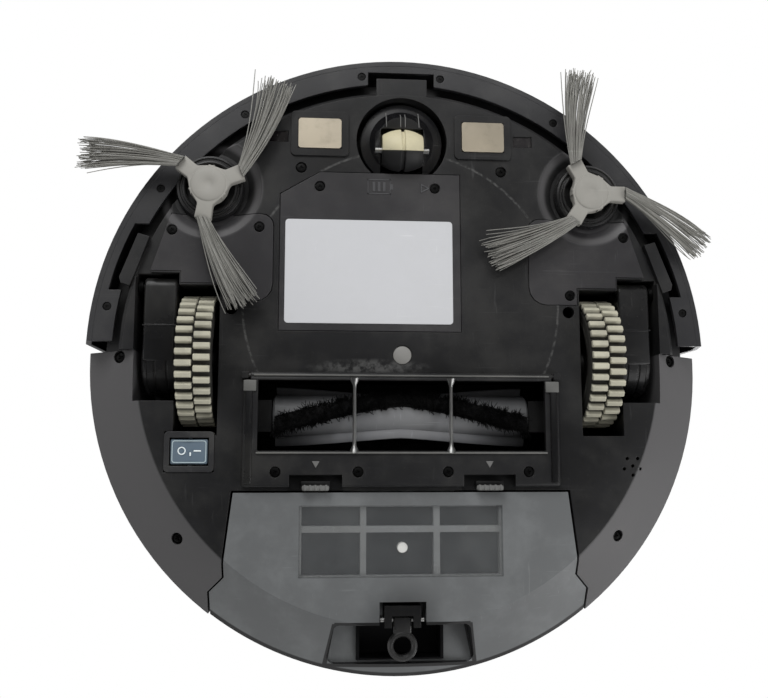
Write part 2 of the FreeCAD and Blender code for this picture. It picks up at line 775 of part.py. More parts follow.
def make_drive(side_name, side):
    def start(distance, width):
        return distance if side > 0 else -(distance + width)

    drum = size("gear_case_radius")
    case = fuse(side_name + "_housing_case", [
        side_plate(side_name + "_housing_block", housing_outline(0), start(HOUSING_IN, HOUSING), HOUSING),
        rod(side_name + "_housing_drum", (start(HOUSING_IN, HOUSING), 0, WHEEL), drum, HOUSING, "x")])
    inner = start(HOUSING_IN + 2, HOUSING - 4)
    hollow = fuse(side_name + "_housing_space", [
        side_plate(side_name + "_housing_hollow", housing_outline(2), inner, HOUSING - 4),
        rod(side_name + "_drum_hollow", (inner, 0, WHEEL), drum - 2, HOUSING - 4, "x")])
    pivot_tube = rod(side_name + "_pivot_tube", (start(HOUSING_IN, HOUSING), PIVOT_Y, PIVOT_Z), 5.2,
                     HOUSING, "x")
    walls = cut(side_name + "_housing_shell", case, [hollow])
    filled = fuse(side_name + "_housing_filled", [walls, pivot_tube])
    part(side_name + "_drive_housing", cut(side_name + "_housing_cut", filled, [
        rod(side_name + "_pivot_bore", (start(HOUSING_IN - 1, HOUSING + 2), PIVOT_Y, PIVOT_Z),
            PIN + FIT, HOUSING + 2, "x"),
        rod(side_name + "_axle_bore", (start(HOUSING_IN - 1, 4), 0, WHEEL), AXLE + FIT, 4, "x")]))
    motor_can = rod(side_name + "_motor_can", (side * (HOUSING_IN + HOUSING / 2), PIVOT_Y + 7, WHEEL - 1.5),
                    6.4, 15, "y")
    motor_shaft = rod(side_name + "_motor_shaft",
                      (side * (HOUSING_IN + HOUSING / 2), PIVOT_Y + 21.5, WHEEL - 1.5), 1.2, 3, "y")
    part(side_name + "_drive_motor", fuse(side_name + "_motor_solid", [motor_can, motor_shaft]))
    pin_length = WELL_OUT + 4.5 - HOUSING_IN
    pin = rod(side_name + "_pin_rod", (start(HOUSING_IN, pin_length), PIVOT_Y, PIVOT_Z), PIN, pin_length, "x")
    coils = []
    for index in range(3):
        distance = HOUSING_IN + HOUSING + 0.75 + index * 0.7
        centre = (side * distance, PIVOT_Y, PIVOT_Z)
        coils.append(ring("%s_coil_%d" % (side_name, index), centre, 3.4, 0.45, "x"))
    return pin, fuse(side_name + "_coils", coils)


def make_wheel(side_name, side):
    half = TYRE / 2
    bead = WHEEL - size("tyre_depth")
    centre = (side * WHEEL_X, 0, WHEEL)
    groove = 1.0
    tread = [(bead, -half), (WHEEL - 2.5, -half), (WHEEL, -half + 2), (WHEEL, -groove),
             (WHEEL - 2.2, -groove), (WHEEL - 2.2, groove), (WHEEL, groove), (WHEEL, half - 2),
             (WHEEL - 2.5, half), (bead, half)]
    part(side_name + "_tyre", turned(side_name + "_tyre_turned", tread, centre, "x"))
    inner = 1 if side < 0 else -1
    section = [(AXLE, -3 * inner), (AXLE, 5 * inner), (7, 5 * inner), (7, 2.5 * inner),
               (bead - 4, 2.5 * inner), (bead - 4, half * inner), (bead, half * inner),
               (bead, -half * inner), (bead - 4, -half * inner), (bead - 4, -1.5 * inner), (8, -3 * inner)]
    part(side_name + "_wheel_hub", turned(side_name + "_hub_turned", section, centre, "x"))
    axle_length = HOUSING_IN + HOUSING - 3.5 - (WHEEL_X - 5)
    low = WHEEL_X - 5 if side > 0 else -(WHEEL_X - 5 + axle_length)
    part(side_name + "_wheel_axle", rod(side_name + "_axle_rod", (low, 0, WHEEL), AXLE, axle_length, "x"))


def make_drive_gear(side_name, side):
    """A spur gear on the wheel's axle, inside the housing: a toothed disc with a bore."""
    teeth = 28
    root = 9.4
    outer = 10.6
    width = 5.0
    points = []
    for index in range(teeth):
        for offset, radius in ((0.0, root), (0.25, outer), (0.5, outer), (0.75, root)):
            angle = 2 * math.pi * (index + offset) / teeth
            points.append(Vector(0, radius * math.cos(angle), radius * math.sin(angle)))
    wire = Part.makePolygon(points + points[:1])
    disc = Part.Face(wire).extrude(Vector(width, 0, 0))
    bore = Part.makeCylinder(float(AXLE), width + 2, Vector(-1, 0, 0), Vector(1, 0, 0))
    gear = doc.addObject("Part::Feature", side_name + "_gear")
    gear.Shape = disc.cut(bore)
    distance = HOUSING_IN + HOUSING / 2 - width / 2
    put(gear, distance if side > 0 else -(distance + width), 0, WHEEL)
    part(side_name + "_drive_gear", gear)


# ---------------------------------------------------------------- caster

def make_caster():
    skirt = BASE + 4
    dome = turned("caster_dome_turned", [
        (0, BASE - 2.6), (12, BASE - 2.6), (16.8, BASE + 2.6), (DOME, skirt), (DOME, skirt + 3),
        (9, skirt + 4), (4, skirt + 6), (4, BASE + size("socket_depth") + WALL + 1),
        (0, BASE + size("socket_depth") + WALL + 1)], (0, CASTER_Y, 0))
    axle_y = CASTER_Y + size("caster_trail")
    pocket = rod("caster_pocket", (-size("caster_width") / 2 - 0.6, axle_y, CASTER), CASTER + 0.8,
                 size("caster_width") + 1.2, "x")
    axle_hole = rod("caster_axle_hole", (-14.4, axle_y, CASTER), 1.5, 28.8, "x")
    part("caster_dome", cut("caster_dome_cut", dome, [pocket, axle_hole]))
    part("caster_axle", rod("caster_axle_rod", (-14, axle_y, CASTER), 1.5, 28, "x"))
    half = size("caster_width") / 2
    barrel = [(1.5 + FIT, -half), (8, -half), (CASTER - 0.7, -half + 5), (CASTER, -1.2), (CASTER - 0.8, -0.8),
              (CASTER - 0.8, 0.8), (CASTER, 1.2), (CASTER - 0.7, half - 5), (8, half), (1.5 + FIT, half)]
    part("caster_wheel", turned("caster_barrel", barrel, (0, axle_y, CASTER), "x"))


# ---------------------------------------------------------------- side brushes

def make_side_brush(side_name, side, arm_angles, sweep):
    """A hub with three arms, and the tufts that they hold, swept round by the floor.

    Angles are seen from above, in degrees from +X towards +Y.
    """
    x = side * BRUSH_X
    foot = size("side_hub_foot")
    hub = turned(side_name + "_hub_turned_piece", [
        (0, foot), (HUB - 3, foot), (HUB, foot + 2.4), (HUB, foot + 6), (4, foot + 6), (3, foot + 7),
        (3, foot + 26), (0, foot + 26)], (x, BRUSH_Y, 0))
    arms = []
    tufts = []
    arm_end = HUB + 7
    for index, angle in enumerate(arm_angles):
        turn = Rotation(Vector(0, 0, 1), angle)
        arm = plate("%s_arm_%d" % (side_name, index), [
            (4, -6.5), (arm_end, -4.2), (arm_end, 4.2), (4, 6.5)], foot + 1, 4.2)
        arms.append(put(arm, x, BRUSH_Y, foot + 1, turn))
        tufts.append(make_tuft("%s_tuft_%d" % (side_name, index), angle, sweep, float(arm_end) + 0.2))
        put(tufts[-1], x, BRUSH_Y, foot - 2)
    part(side_name + "_side_brush_hub", fuse(side_name + "_hub_solid", [hub] + arms))
    part(side_name + "_side_bristles", group(side_name + "_tuft_set", tufts))
    block = rod(side_name + "_gearbox_block", (x, BRUSH_Y, BASE + 14), 15, 15)
    bore = rod(side_name + "_gearbox_bore", (x, BRUSH_Y, BASE), 3.4, 21)
    return cut(side_name + "_gearbox_cut", block, [bore])


def make_tuft(name, angle, sweep, start):
    """A flat fan of bristle, from the end of an arm to the tips."""
    reach = float(size("tuft_reach"))
    root = Vector(start * math.cos(math.radians(angle)), start * math.sin(math.radians(angle)), 0)
    tip_angle = math.radians(angle + sweep)
    tip = Vector(reach * math.cos(tip_angle), reach * math.sin(tip_angle), 0)
    along = (tip - root).normalize()
    across = Vector(-along.y, along.x, 0)
    corners = [root - across * 3.2, tip - across * 9, tip + across * 9, root + across * 3.2]
    fan = doc.addObject("Part::Feature", name)
    fan.Shape = Part.Face(Part.makePolygon(corners + corners[:1])).extrude(Vector(0, 0, 3))
    return fan


# ---------------------------------------------------------------- main brush and guard

def make_main_brush():
    length = size("brush_length")
    half = length / 2
    core = rod("core_tube", (-half, ROLLER_Y, ROLLER_Z), CORE, length, "x")
    journals = rod("core_journal", (-half - 5, ROLLER_Y, ROLLER_Z), 3, length + 10, "x")
    part("roller_core", fuse("core_solid", [core, journals]))
    for name, first in (("roller_bristles", 87), ("roller_blades", 145)):
        fins = []
        for index in range(2):
            fin = box("%s_fin_%d" % (name, index), (-half + 1, ROLLER_Y, ROLLER_Z), (length - 2, 1, 1))
            turn = Rotation(Vector(1, 0, 0), first + 180 * index)
            fin.setExpression("Width", (ROLLER - CORE - 0.05).text)
            fin.Height = 3.0
            arm = turn.multVec(Vector(0, CORE.value + 0.05, -1.5))
            put(fin, -half + 1, ROLLER_Y + arm.y, ROLLER_Z + arm.z, turn)
            fins.append(fin)
        part(name, group(name + "_set", fins))
    blocks = []
    for side_name, side in BOTH_SIDES:
        low = half + 0.6 if side > 0 else -(BAY - 0.1)
        block = box(side_name + "_bearing_block", (low, ROLLER_Y - 8, ROLLER_Z - 8),
                    (BAY - 0.7 - half, 16, 16))
        bore = rod(side_name + "_bearing_bore", (low - 1, ROLLER_Y, ROLLER_Z), 3 + FIT,
                   BAY + 2 - half, "x")
        blocks.append(cut(side_name + "_bearing", block, [bore]))
    part("roller_bearings", group("bearing_set", blocks))


def make_guard():
    foot = GUARD_FOOT
    back = size("guard_back")
    slab = box("guard_slab", (-GUARD, GUARD_HINGE_Y - 3, foot),
               (GUARD * 2, back - GUARD_HINGE_Y + 3, GUARD_THICK))
    slab_round = cut("guard_slab_trimmed", rounded("guard_slab_round", slab, 3), [
        box("guard_slab_front", (-GUARD - 1, GUARD_HINGE_Y - 4, foot - 1),
            (GUARD * 2 + 2, 4, GUARD_THICK + 2))])
    hinge = rod("guard_hinge_bar", (3.8 - GUARD, GUARD_HINGE_Y, GUARD_HINGE_Z), GUARD_THICK / 2,
                (GUARD - 3.8) * 2, "x")
    trunnions = rod("guard_trunnions", (1 - GUARD, GUARD_HINGE_Y, GUARD_HINGE_Z), 1.1, (GUARD - 1) * 2, "x")
    window_half = size("window_length") / 2
    window = box("guard_window", (-window_half, size("window_front"), foot - 1),
                 (window_half * 2, size("window_back") - size("window_front"), GUARD_THICK + 2))
    tools = [window]
    for side_name, side in BOTH_SIDES:
        corner_low = GUARD - 3.8 if side > 0 else -GUARD - 1
        tools.append(box(side_name + "_ear_notch", (corner_low, GUARD_HINGE_Y - 4, foot - 1),
                         (4.8, 6.4, GUARD_THICK + 2)))
        tools.append(box(side_name + "_latch_notch", (side * 43.2 - 8.2, back - 5, foot - 1),
                         (16.4, 8, GUARD_THICK + 2)))
    screws = []
    for index, x in enumerate((-63, -22.4, 22.4, 63)):
        tools.append(rod("guard_screw_hole_%d" % index, (x, 56.9, foot - 1), 2.5, 2.2))
        screws.append(rod("guard_screw_%d" % index, (x, 56.9, foot + 0.4), 2.4, 0.8))
    frame = cut("guard_cut", slab_round, tools)
    part("guard_frame", fuse("guard_with_hinge", [frame, hinge, trunnions]))
    part("guard_screws", group("guard_screw_set", screws))
    wires = []
    radius = size("wire_diameter") / 2
    for index, x in enumerate((-24.2, 24.2)):
        depth = size("window_back") - size("window_front")
        wires.append(rod("guard_wire_%d" % index, (x, size("window_front"), foot + radius + 0.05), radius,
                         depth, "y"))
    part("guard_wires", group("guard_wire_set", wires))
    for side_name, side in BOTH_SIDES:
        tongue = box(side_name + "_latch_tongue", (side * 43.2 - 7.9, back - 2.9, foot), (15.8, 3.6, 2.6))
        lip = box(side_name + "_latch_lip", (side * 43.2 - 7.9, back + 0.2, foot - 1.2), (15.8, 1.6, 3.8))
        part(side_name + "_guard_latch", fuse(side_name + "_latch_solid", [tongue, lip]))


# ---------------------------------------------------------------- covers, plates and inner units

def make_battery_parts():
    cover = plate("cover_plate", cover_outline(0), BASE, COVER)
    part("battery_cover", cut("cover_cut", cover, plate_screws("cover", COVER_SCREWS)))
    left = size("cover_left")
    front = size("cover_front")
    part("rating_plate", box("plate_block", (left + 2.7, front + 25.2, BASE - 0.3), (86, 53.9, 0.3)))
    length = size("cover_right") - left
    depth = size("cover_back") - front
    pack = box("pack_block", (left + 4.9, front + 12.4, BASE + COVER + 0.4),
               (length - 9.8, depth - 18.8, size("battery_height")))
    part("battery_pack", rounded("pack_round", pack, 3))
    part("main_board", box("board_block", (left, front + 6, BASE + COVER + size("battery_height") + 5.4),
                           (length + 50, depth - 10, 1.6)))


def make_wheel_panels():
    """Each panel carries its share of the dish about the side brush."""
    for side_name, side in BOTH_SIDES:
        outline = handed(side, wheel_panel_outline(0))
        flat = plate(side_name + "_panel_plate", outline, BASE, WALL)
        deep = plate(side_name + "_panel_prism", outline, BASE, size("dish_depth") + WALL)
        bowl = common(side_name + "_panel_bowl", deep,
                      dish(side_name + "_panel_dish_wall", side, WALL, BASE, size("dish_depth") + WALL))
        hollow = dish(side_name + "_panel_dish", side, 0.5, BASE - 0.25, size("dish_depth") + 0.25)
        places = RIGHT_PANEL_SCREWS if side > 0 else LEFT_PANEL_SCREWS
        filled = fuse(side_name + "_panel_filled", [flat, bowl])
        part(side_name + "_wheel_panel", cut(side_name + "_panel_cut", filled,
                                             [hollow] + plate_screws(side_name + "_panel", places)))


def make_contacts():
    contacts = []
    for side_name, side in BOTH_SIDES:
        low = (side * CONTACT_X - size("contact_length") / 2, CONTACT_Y - size("contact_width") / 2,
               BASE - 1.3)
        block = box(side_name + "_contact_block", low, (size("contact_length"), size("contact_width"), 2.4))
        contacts.append(rounded(side_name + "_contact_round", block, 1.5))
    part("charging_contacts", group("contact_pair", contacts))


def make_fan():
    lift = ROLLER_Z + ROLLER + 4.2
    case = turned("fan_case", [
        (9, lift), (27, lift), (29, lift + 2), (29, lift + 20), (26, lift + 22), (9, lift + 22)], (0, 34, 0))
    part("fan_unit", case)


def make_small_units():
    windows = []
    for side_name, side in BOTH_SIDES:
        windows.append(box(side_name + "_cliff_sensor", (side * 64 - 4.8, -118.3, BASE + 0.6), (9.6, 5.6, 2)))
    part("cliff_sensors", group("cliff_set", windows))
    part("speaker", rod("speaker_disc", (117.3, 54.1, FLOOR_TOP + 5.5), 8, 3.2))
    screws = []
    for index, (x, y, radius) in enumerate(deep_screws()):
        screws.append(rod("deep_screw_%d" % index, (x, y, BASE + 10.4), radius - 0.3, 1.6))
    for index, (x, y) in enumerate(front_screws()):
        screws.append(rod("front_screw_%d" % index, (x, y, BASE + 0.4), 2.5, 1.0))
    for index, (x, y) in enumerate(COVER_SCREWS + LEFT_PANEL_SCREWS + RIGHT_PANEL_SCREWS):
        screws.append(rod("plate_screw_%d" % index, (x, y, BASE + 0.6), SCREW_HOLE - 0.4, 0.7))
    screws.append(rod("centre_screw", (0, -1.6, BASE + 0.1), 4.7, 1.0))
    part("underside_screws", group("underside_screw_set", screws))


def make_switch():
    x = size("switch_x")
    y = SWITCH_Y
    half_x = size("switch_length") / 2
    half_y = size("switch_width") / 2
    outer = box("bezel_block", (x - half_x + 0.1, y - half_y + 0.1, BASE - 0.5),
                (half_x * 2 - 0.2, half_y * 2 - 0.2, 6))
    inner = box("bezel_window", (x - half_x + 2.6, y - half_y + 3.1, BASE - 2), (half_x * 2 - 5.2,
                                                                            half_y * 2 - 6.2, 10))
    pin_z = BASE + 3.5
    pin_bore = rod("bezel_pin_bore", (x, y - half_y, pin_z), 1 + FIT, half_y * 2, "y")
    part("switch_bezel", cut("bezel_cut", rounded("bezel_round", outer, 2), [inner, pin_bore]))
    paddle = box("paddle_block", (x - half_x + 3.1, y - half_y + 3.6, BASE), (half_x * 2 - 6.2,
                                                                        half_y * 2 - 7.2, 2.4))
    stem = box("paddle_stem", (x - 2, y - 4, BASE + 2), (4, 8, 3))
    pin = rod("paddle_pin", (x, y - half_y + 1.4, pin_z), 1, half_y * 2 - 2.8, "y")
    part("switch_rocker", fuse("paddle_solid", [paddle, stem, pin]))


# ---------------------------------------------------------------- dust tank

def notch_outline(grow):
    """The finger notch in the tank's rear edge, which widens to the rear."""
    front_half = size("notch_front_width") / 2 + grow
    back_half = size("notch_back_width") / 2 + grow
    half = [(front_half, size("notch_front") - grow), (back_half, size("notch_back") + grow)]
    return half + mirrored_points(half)


def make_tank():
    inset = TANK_WALL
    back = RIM + 10
    outer = plate("tank_block", tank_outline(0, back), TANK_FOOT, size("tank_height") - 2.5)
    space = turned("tank_space", [
        (0, TANK_FOOT), (FLAT, TANK_FOOT), (RIM - 0.5, RIM_FOOT + GAP), (RIM - 0.5, TANK_TOP), (0, TANK_TOP)])
    body_solid = common("tank_body", outer, space)
    hollow_block = plate("tank_hollow_block", tank_outline(-inset, back), TANK_FOOT + inset,
                         size("tank_height"))
    hollow_space = turned("tank_hollow_space", [
        (0, TANK_FOOT + inset), (FLAT - 1, TANK_FOOT + inset), (RIM - 0.5 - inset, RIM_FOOT + GAP + inset),
        (RIM - 0.5 - inset, TANK_TOP + 5), (0, TANK_TOP + 5)])
    hollow = common("tank_hollow", hollow_block, hollow_space)
    notch_height = size("notch_ceiling") - TANK_FOOT
    notch_wall = plate("notch_walls", notch_outline(inset), TANK_FOOT, notch_height + inset)
    notch = rounded("notch_space", plate("notch_prism", notch_outline(0), TANK_FOOT - 2, notch_height + 2), 4)
    front = size("notch_front")
    grip_wall = box("grip_walls", (-23.5, front - 0.8, TANK_FOOT), (47, 23, notch_height + 14))
    grip = box("grip_space", (-21.5, front + 1.2, TANK_FOOT + 2), (43, 19, notch_height + 10))
    pocket_wall = box("bracket_walls", (-13.5, front - 13, TANK_FOOT), (27, 16, 22))
    pocket = box("bracket_space", (-11.5, front - 11, TANK_FOOT - 2), (23, 14, 22))
    walls = fuse("inner_walls", [notch_wall, grip_wall, pocket_wall])
    shell = cut("tank_hollowed", body_solid, [hollow])
    walled = fuse("tank_walled", [shell, common("inner_walls_trimmed", walls, body_solid)])
    inlet = box("tank_inlet", (-30, TANK_FRONT - 5, BASE + 12), (60, 10, 16))
    part("tank_shell", cut("tank_cut", walled, [notch, grip, pocket, inlet]))

    lid_block = plate("lid_block", tank_outline(0, back), TANK_TOP - 2.45, 2.4)
    lid_space = turned("lid_space", [
        (0, TANK_FOOT), (RIM - 0.5, TANK_FOOT), (RIM - 0.5, TANK_TOP), (0, TANK_TOP)])
    part("tank_lid", common("lid_plate", lid_block, lid_space))

    frame_foot = TANK_FOOT + TANK_WALL + 0.2
    thick = size("filter_thick")
    frame = box("filter_block", (-55, 71.5, frame_foot), (110, 40, thick))
    holes = []
    for column, (left, width) in enumerate(((-50.0, 29.0), (-18.0, 33.5), (18.7, 30.0))):
        for line, (y, depth) in enumerate(((74.0, 9.5), (86.6, 20.8))):
            holes.append(box("filter_hole_%d_%d" % (column, line), (left, y, frame_foot - 1),
                             (width, depth, thick - 1)))
    part("filter_frame", cut("filter_cut", frame, holes))
    part("filter_stud", rod("stud_rod", (0, 94, frame_foot + 0.5), 2.6, thick - 2.5))


def make_tank_latch():
    front = size("notch_front")
    bracket = box("bracket_block", (-9, front - 9, TANK_FOOT + 1.5), (18, 7.8, 14))
    slot = box("bracket_slot", (-5.3, front - 4, TANK_FOOT), (10.6, 8, 12))
    pin_z = TANK_FOOT + 5
    pin_y = front - 1.8
    ears = []
    for side_name, side in BOTH_SIDES:
        low = 5.4 if side > 0 else -9
        ears.append(box(side_name + "_bracket_ear", (low, front - 3, TANK_FOOT + 1.5), (3.6, 4.6, 7)))
    hole = rod("bracket_bore", (-12, pin_y, pin_z), 1.1, 24, "x")
    solid = fuse("bracket_solid", [cut("bracket_slotted", bracket, [slot])] + ears)
    part("latch_bracket", cut("bracket_cut", solid, [hole]))
    part("latch_pin", rod("latch_pin_rod", (-10.8, pin_y, pin_z), 1.1, 21.6, "x"))
    arm = box("lever_arm", (-4.8, pin_y - 1.6, pin_z - 2), (9.6, 6.6, 4))
    loop = ring("lever_loop", (0, front + 10.6, pin_z + 0.2), 6.2, 1.5)
    bore = rod("lever_bore", (-6, pin_y, pin_z), 1.1 + FIT, 12, "x")
    part("latch_lever", cut("lever_cut", fuse("lever_solid", [arm, loop]), [bore]))


# ---------------------------------------------------------------- the whole machine

make_base_shell()
make_top_shell()
make_top_plate()
make_buttons()
make_bumper()
make_bump_switches()
pivot_pins = []
suspension_springs = []
for drive_side, drive_sign in BOTH_SIDES:
    pivot_pin, suspension_spring = make_drive(drive_side, drive_sign)
    pivot_pins.append(pivot_pin)
    suspension_springs.append(suspension_spring)
    make_wheel(drive_side, drive_sign)
    make_drive_gear(drive_side, drive_sign)
part("pivot_pins", group("pivot_pin_pair", pivot_pins))
part("suspension_springs", group("suspension_spring_pair", suspension_springs))
make_caster()
gearboxes = [
    make_side_brush("left", -1, (-142, -22, 98), -26),
    make_side_brush("right", 1, (2, 122, -118), 25),
]
part("side_brush_gearboxes", group("gearbox_pair", gearboxes))
make_main_brush()
make_guard()
make_battery_parts()
make_wheel_panels()
make_contacts()
make_fan()
make_small_units()
make_switch()
make_tank()
make_tank_latch()

doc.recompute()

for item in doc.Objects:
    faults = [state for state in item.State if state in ("Invalid", "Error")]
    if faults:
        raise RuntimeError("%s is %s" % (item.Name, faults))
for piece in PARTS:
    if piece.Shape.isNull() or not piece.Shape.isValid() or not piece.Shape.Solids:
        raise RuntimeError("%s has no valid solid" % piece.Label)

os.makedirs("parts", exist_ok=True)
for piece in PARTS:
    piece.Shape.exportStep(os.path.join("parts", piece.Label + ".step"))
print("wrote %d parts" % len(PARTS))
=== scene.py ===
import json
import math
import random

import bmesh
import bpy
from mathutils import Matrix, Vector


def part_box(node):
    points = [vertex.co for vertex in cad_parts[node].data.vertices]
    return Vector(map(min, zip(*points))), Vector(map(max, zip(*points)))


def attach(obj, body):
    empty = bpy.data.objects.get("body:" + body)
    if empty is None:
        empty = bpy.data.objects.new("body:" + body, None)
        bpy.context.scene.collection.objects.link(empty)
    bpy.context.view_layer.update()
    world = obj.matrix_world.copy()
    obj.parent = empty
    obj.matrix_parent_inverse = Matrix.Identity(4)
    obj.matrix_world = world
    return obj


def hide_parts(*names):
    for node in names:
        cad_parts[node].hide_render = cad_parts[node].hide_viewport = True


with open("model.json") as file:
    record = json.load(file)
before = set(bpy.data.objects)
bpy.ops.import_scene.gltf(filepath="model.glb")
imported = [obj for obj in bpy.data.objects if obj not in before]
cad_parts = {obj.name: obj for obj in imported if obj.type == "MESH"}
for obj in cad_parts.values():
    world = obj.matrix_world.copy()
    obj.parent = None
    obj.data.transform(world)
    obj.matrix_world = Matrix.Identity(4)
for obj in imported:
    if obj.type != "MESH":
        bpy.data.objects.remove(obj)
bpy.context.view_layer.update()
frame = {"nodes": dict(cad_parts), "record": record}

# ---------------------------------------------------------------- camera

CAMERA_PLACE = Vector((-0.0394, 0.0498, -0.4088))
CAMERA_AIM = Vector((-0.0102, -0.0031, 0.0))
CAMERA_LENS = 39.4


def make_camera():
    """A camera under the machine, looking up, with the bumper at the top of the picture."""
    data = bpy.data.cameras.new("camera")
    data.lens = CAMERA_LENS
    data.sensor_width = 36.0
    data.clip_start = 0.01
    camera = bpy.data.objects.new("camera", data)
    bpy.context.collection.objects.link(camera)
    back = (CAMERA_PLACE - CAMERA_AIM).normalized()
    right = (-back).cross(Vector((0, -1, 0))).normalized()
    up = back.cross(right)
    turn = Matrix((right, up, back)).transposed()
    camera.matrix_world = Matrix.Translation(CAMERA_PLACE) @ turn.to_4x4()
    bpy.context.scene.camera = camera


make_camera()

FLOOR_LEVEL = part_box("battery_cover")[0].z


def middle(node):
    low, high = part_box(node)
    return (low + high) / 2


# ---------------------------------------------------------------- shader helpers


def tint(red, green, blue):
    """An sRGB colour, 0 to 255, as the linear colour that shaders take."""
    linear = []
    for value in (red, green, blue):
        share = value / 255
        linear.append(share / 12.92 if share <= 0.04045 else ((share + 0.055) / 1.055) ** 2.4)
    return (*linear, 1.0)


def group_tree(name, inputs, outputs):
    """A node group with named number inputs and outputs, and its two end nodes."""
    tree = bpy.data.node_groups.new(name, "ShaderNodeTree")
    for label, default in inputs:
        socket = tree.interface.new_socket(label, in_out="INPUT", socket_type="NodeSocketFloat")
        socket.default_value = default
    for label in outputs:
        tree.interface.new_socket(label, in_out="OUTPUT", socket_type="NodeSocketFloat")
    return tree, tree.nodes.new("NodeGroupInput"), tree.nodes.new("NodeGroupOutput")


def noise_node(tree, scale, detail=4.0, rough=0.55):
    node = tree.nodes.new("ShaderNodeTexNoise")
    node.inputs["Detail"].default_value = detail
    node.inputs["Roughness"].default_value = rough
    if isinstance(scale, bpy.types.NodeSocket):
        tree.links.new(scale, node.inputs["Scale"])
    else:
        node.inputs["Scale"].default_value = scale
    return node


def math_node(tree, operation, first, second=None, clamp=False):
    node = tree.nodes.new("ShaderNodeMath")
    node.operation = operation
    node.use_clamp = clamp
    for index, value in enumerate((first, second)):
        if isinstance(value, bpy.types.NodeSocket):
            tree.links.new(value, node.inputs[index])
        elif value is not None:
            node.inputs[index].default_value = value
    return node.outputs[0]


def product(tree, first, second):
    return math_node(tree, "MULTIPLY", first, second)


def total(tree, first, second):
    return math_node(tree, "ADD", first, second)


def difference(tree, first, second):
    return math_node(tree, "SUBTRACT", first, second)


def larger(tree, first, second):
    return math_node(tree, "MAXIMUM", first, second)


def magnitude(tree, value):
    return math_node(tree, "ABSOLUTE", value)


def ramp(tree, factor, low, high):
    """A smooth step from 0 at low to 1 at high."""
    node = tree.nodes.new("ShaderNodeMapRange")
    node.interpolation_type = "SMOOTHSTEP"
    tree.links.new(factor, node.inputs["Value"])
    for label, value in (("From Min", low), ("From Max", high)):
        if isinstance(value, bpy.types.NodeSocket):
            tree.links.new(value, node.inputs[label])
        else:
            node.inputs[label].default_value = value
    return node.outputs["Result"]


def own_place(tree, stretch=None):
    """The point on the piece, in metres, stretched if a pattern runs one way."""
    spot = tree.nodes.new("ShaderNodeTexCoord").outputs["Object"]
    if stretch is None:
        return spot
    mapping = tree.nodes.new("ShaderNodeMapping")
    mapping.inputs["Scale"].default_value = stretch
    tree.links.new(spot, mapping.inputs["Vector"])
    return mapping.outputs["Vector"]


def make_grain_group():
    """Moulded grain: a height, and a slow cloud that shades large surfaces unevenly."""
    tree, given, result = group_tree("Moulded Grain", [("Scale", 2200.0), ("Cloud Scale", 18.0)],
                                     ["Height", "Cloud"])
    spot = own_place(tree)
    grain = noise_node(tree, given.outputs["Scale"], 2.0)
    cloud = noise_node(tree, given.outputs["Cloud Scale"], 5.0, 0.6)
    for node in (grain, cloud):
        tree.links.new(spot, node.inputs["Vector"])
    tree.links.new(grain.outputs["Fac"], result.inputs["Height"])
    tree.links.new(ramp(tree, cloud.outputs["Fac"], 0.3, 0.7), result.inputs["Cloud"])
    return tree


def make_scratch_group():
    """Fine scratches in two directions, broken up into patches."""
    tree, given, result = group_tree("Fine Scratches", [("Amount", 0.5)], ["Mask"])
    lines = []
    for index, stretch in enumerate(((30.0, 900.0, 200.0), (700.0, 42.0, 200.0))):
        warp = own_place(tree, stretch)
        node = noise_node(tree, 1.0, 2.0, 0.5)
        node.inputs["Distortion"].default_value = 0.6 + 0.5 * index
        tree.links.new(warp, node.inputs["Vector"])
        lines.append(ramp(tree, node.outputs["Fac"], 0.67, 0.74))
    patches = noise_node(tree, 26.0, 3.0)
    tree.links.new(own_place(tree), patches.inputs["Vector"])
    both = larger(tree, lines[0], lines[1])
    limited = product(tree, both, ramp(tree, patches.outputs["Fac"], 0.45, 0.62))
    tree.links.new(product(tree, limited, given.outputs["Amount"]), result.inputs["Mask"])
    return tree


def make_dust_group():
    """Grey dust: thin in patches on open surfaces, thicker where surfaces meet, with specks."""
    tree, given, result = group_tree("House Dust", [("Film", 0.3), ("Corners", 0.6), ("Specks", 0.5)],
                                     ["Mask"])
    spot = own_place(tree)
    patch = noise_node(tree, 34.0, 6.0, 0.65)
    speck = noise_node(tree, 900.0, 1.0, 0.5)
    for node in (patch, speck):
        tree.links.new(spot, node.inputs["Vector"])
    nook = tree.nodes.new("ShaderNodeAmbientOcclusion")
    nook.samples = 6
    nook.only_local = False
    nook.inputs["Distance"].default_value = 0.006
    closed = difference(tree, 1.0, nook.outputs["AO"])
    film = product(tree, ramp(tree, patch.outputs["Fac"], 0.42, 0.72), given.outputs["Film"])
    corner = product(tree, ramp(tree, closed, 0.25, 0.95), given.outputs["Corners"])
    uneven = product(tree, corner, ramp(tree, patch.outputs["Fac"], 0.3, 0.6))
    dots = product(tree, ramp(tree, speck.outputs["Fac"], 0.70, 0.76), given.outputs["Specks"])
    dust = math_node(tree, "ADD", total(tree, film, uneven), dots, clamp=True)
    tree.links.new(dust, result.inputs["Mask"])
    return tree


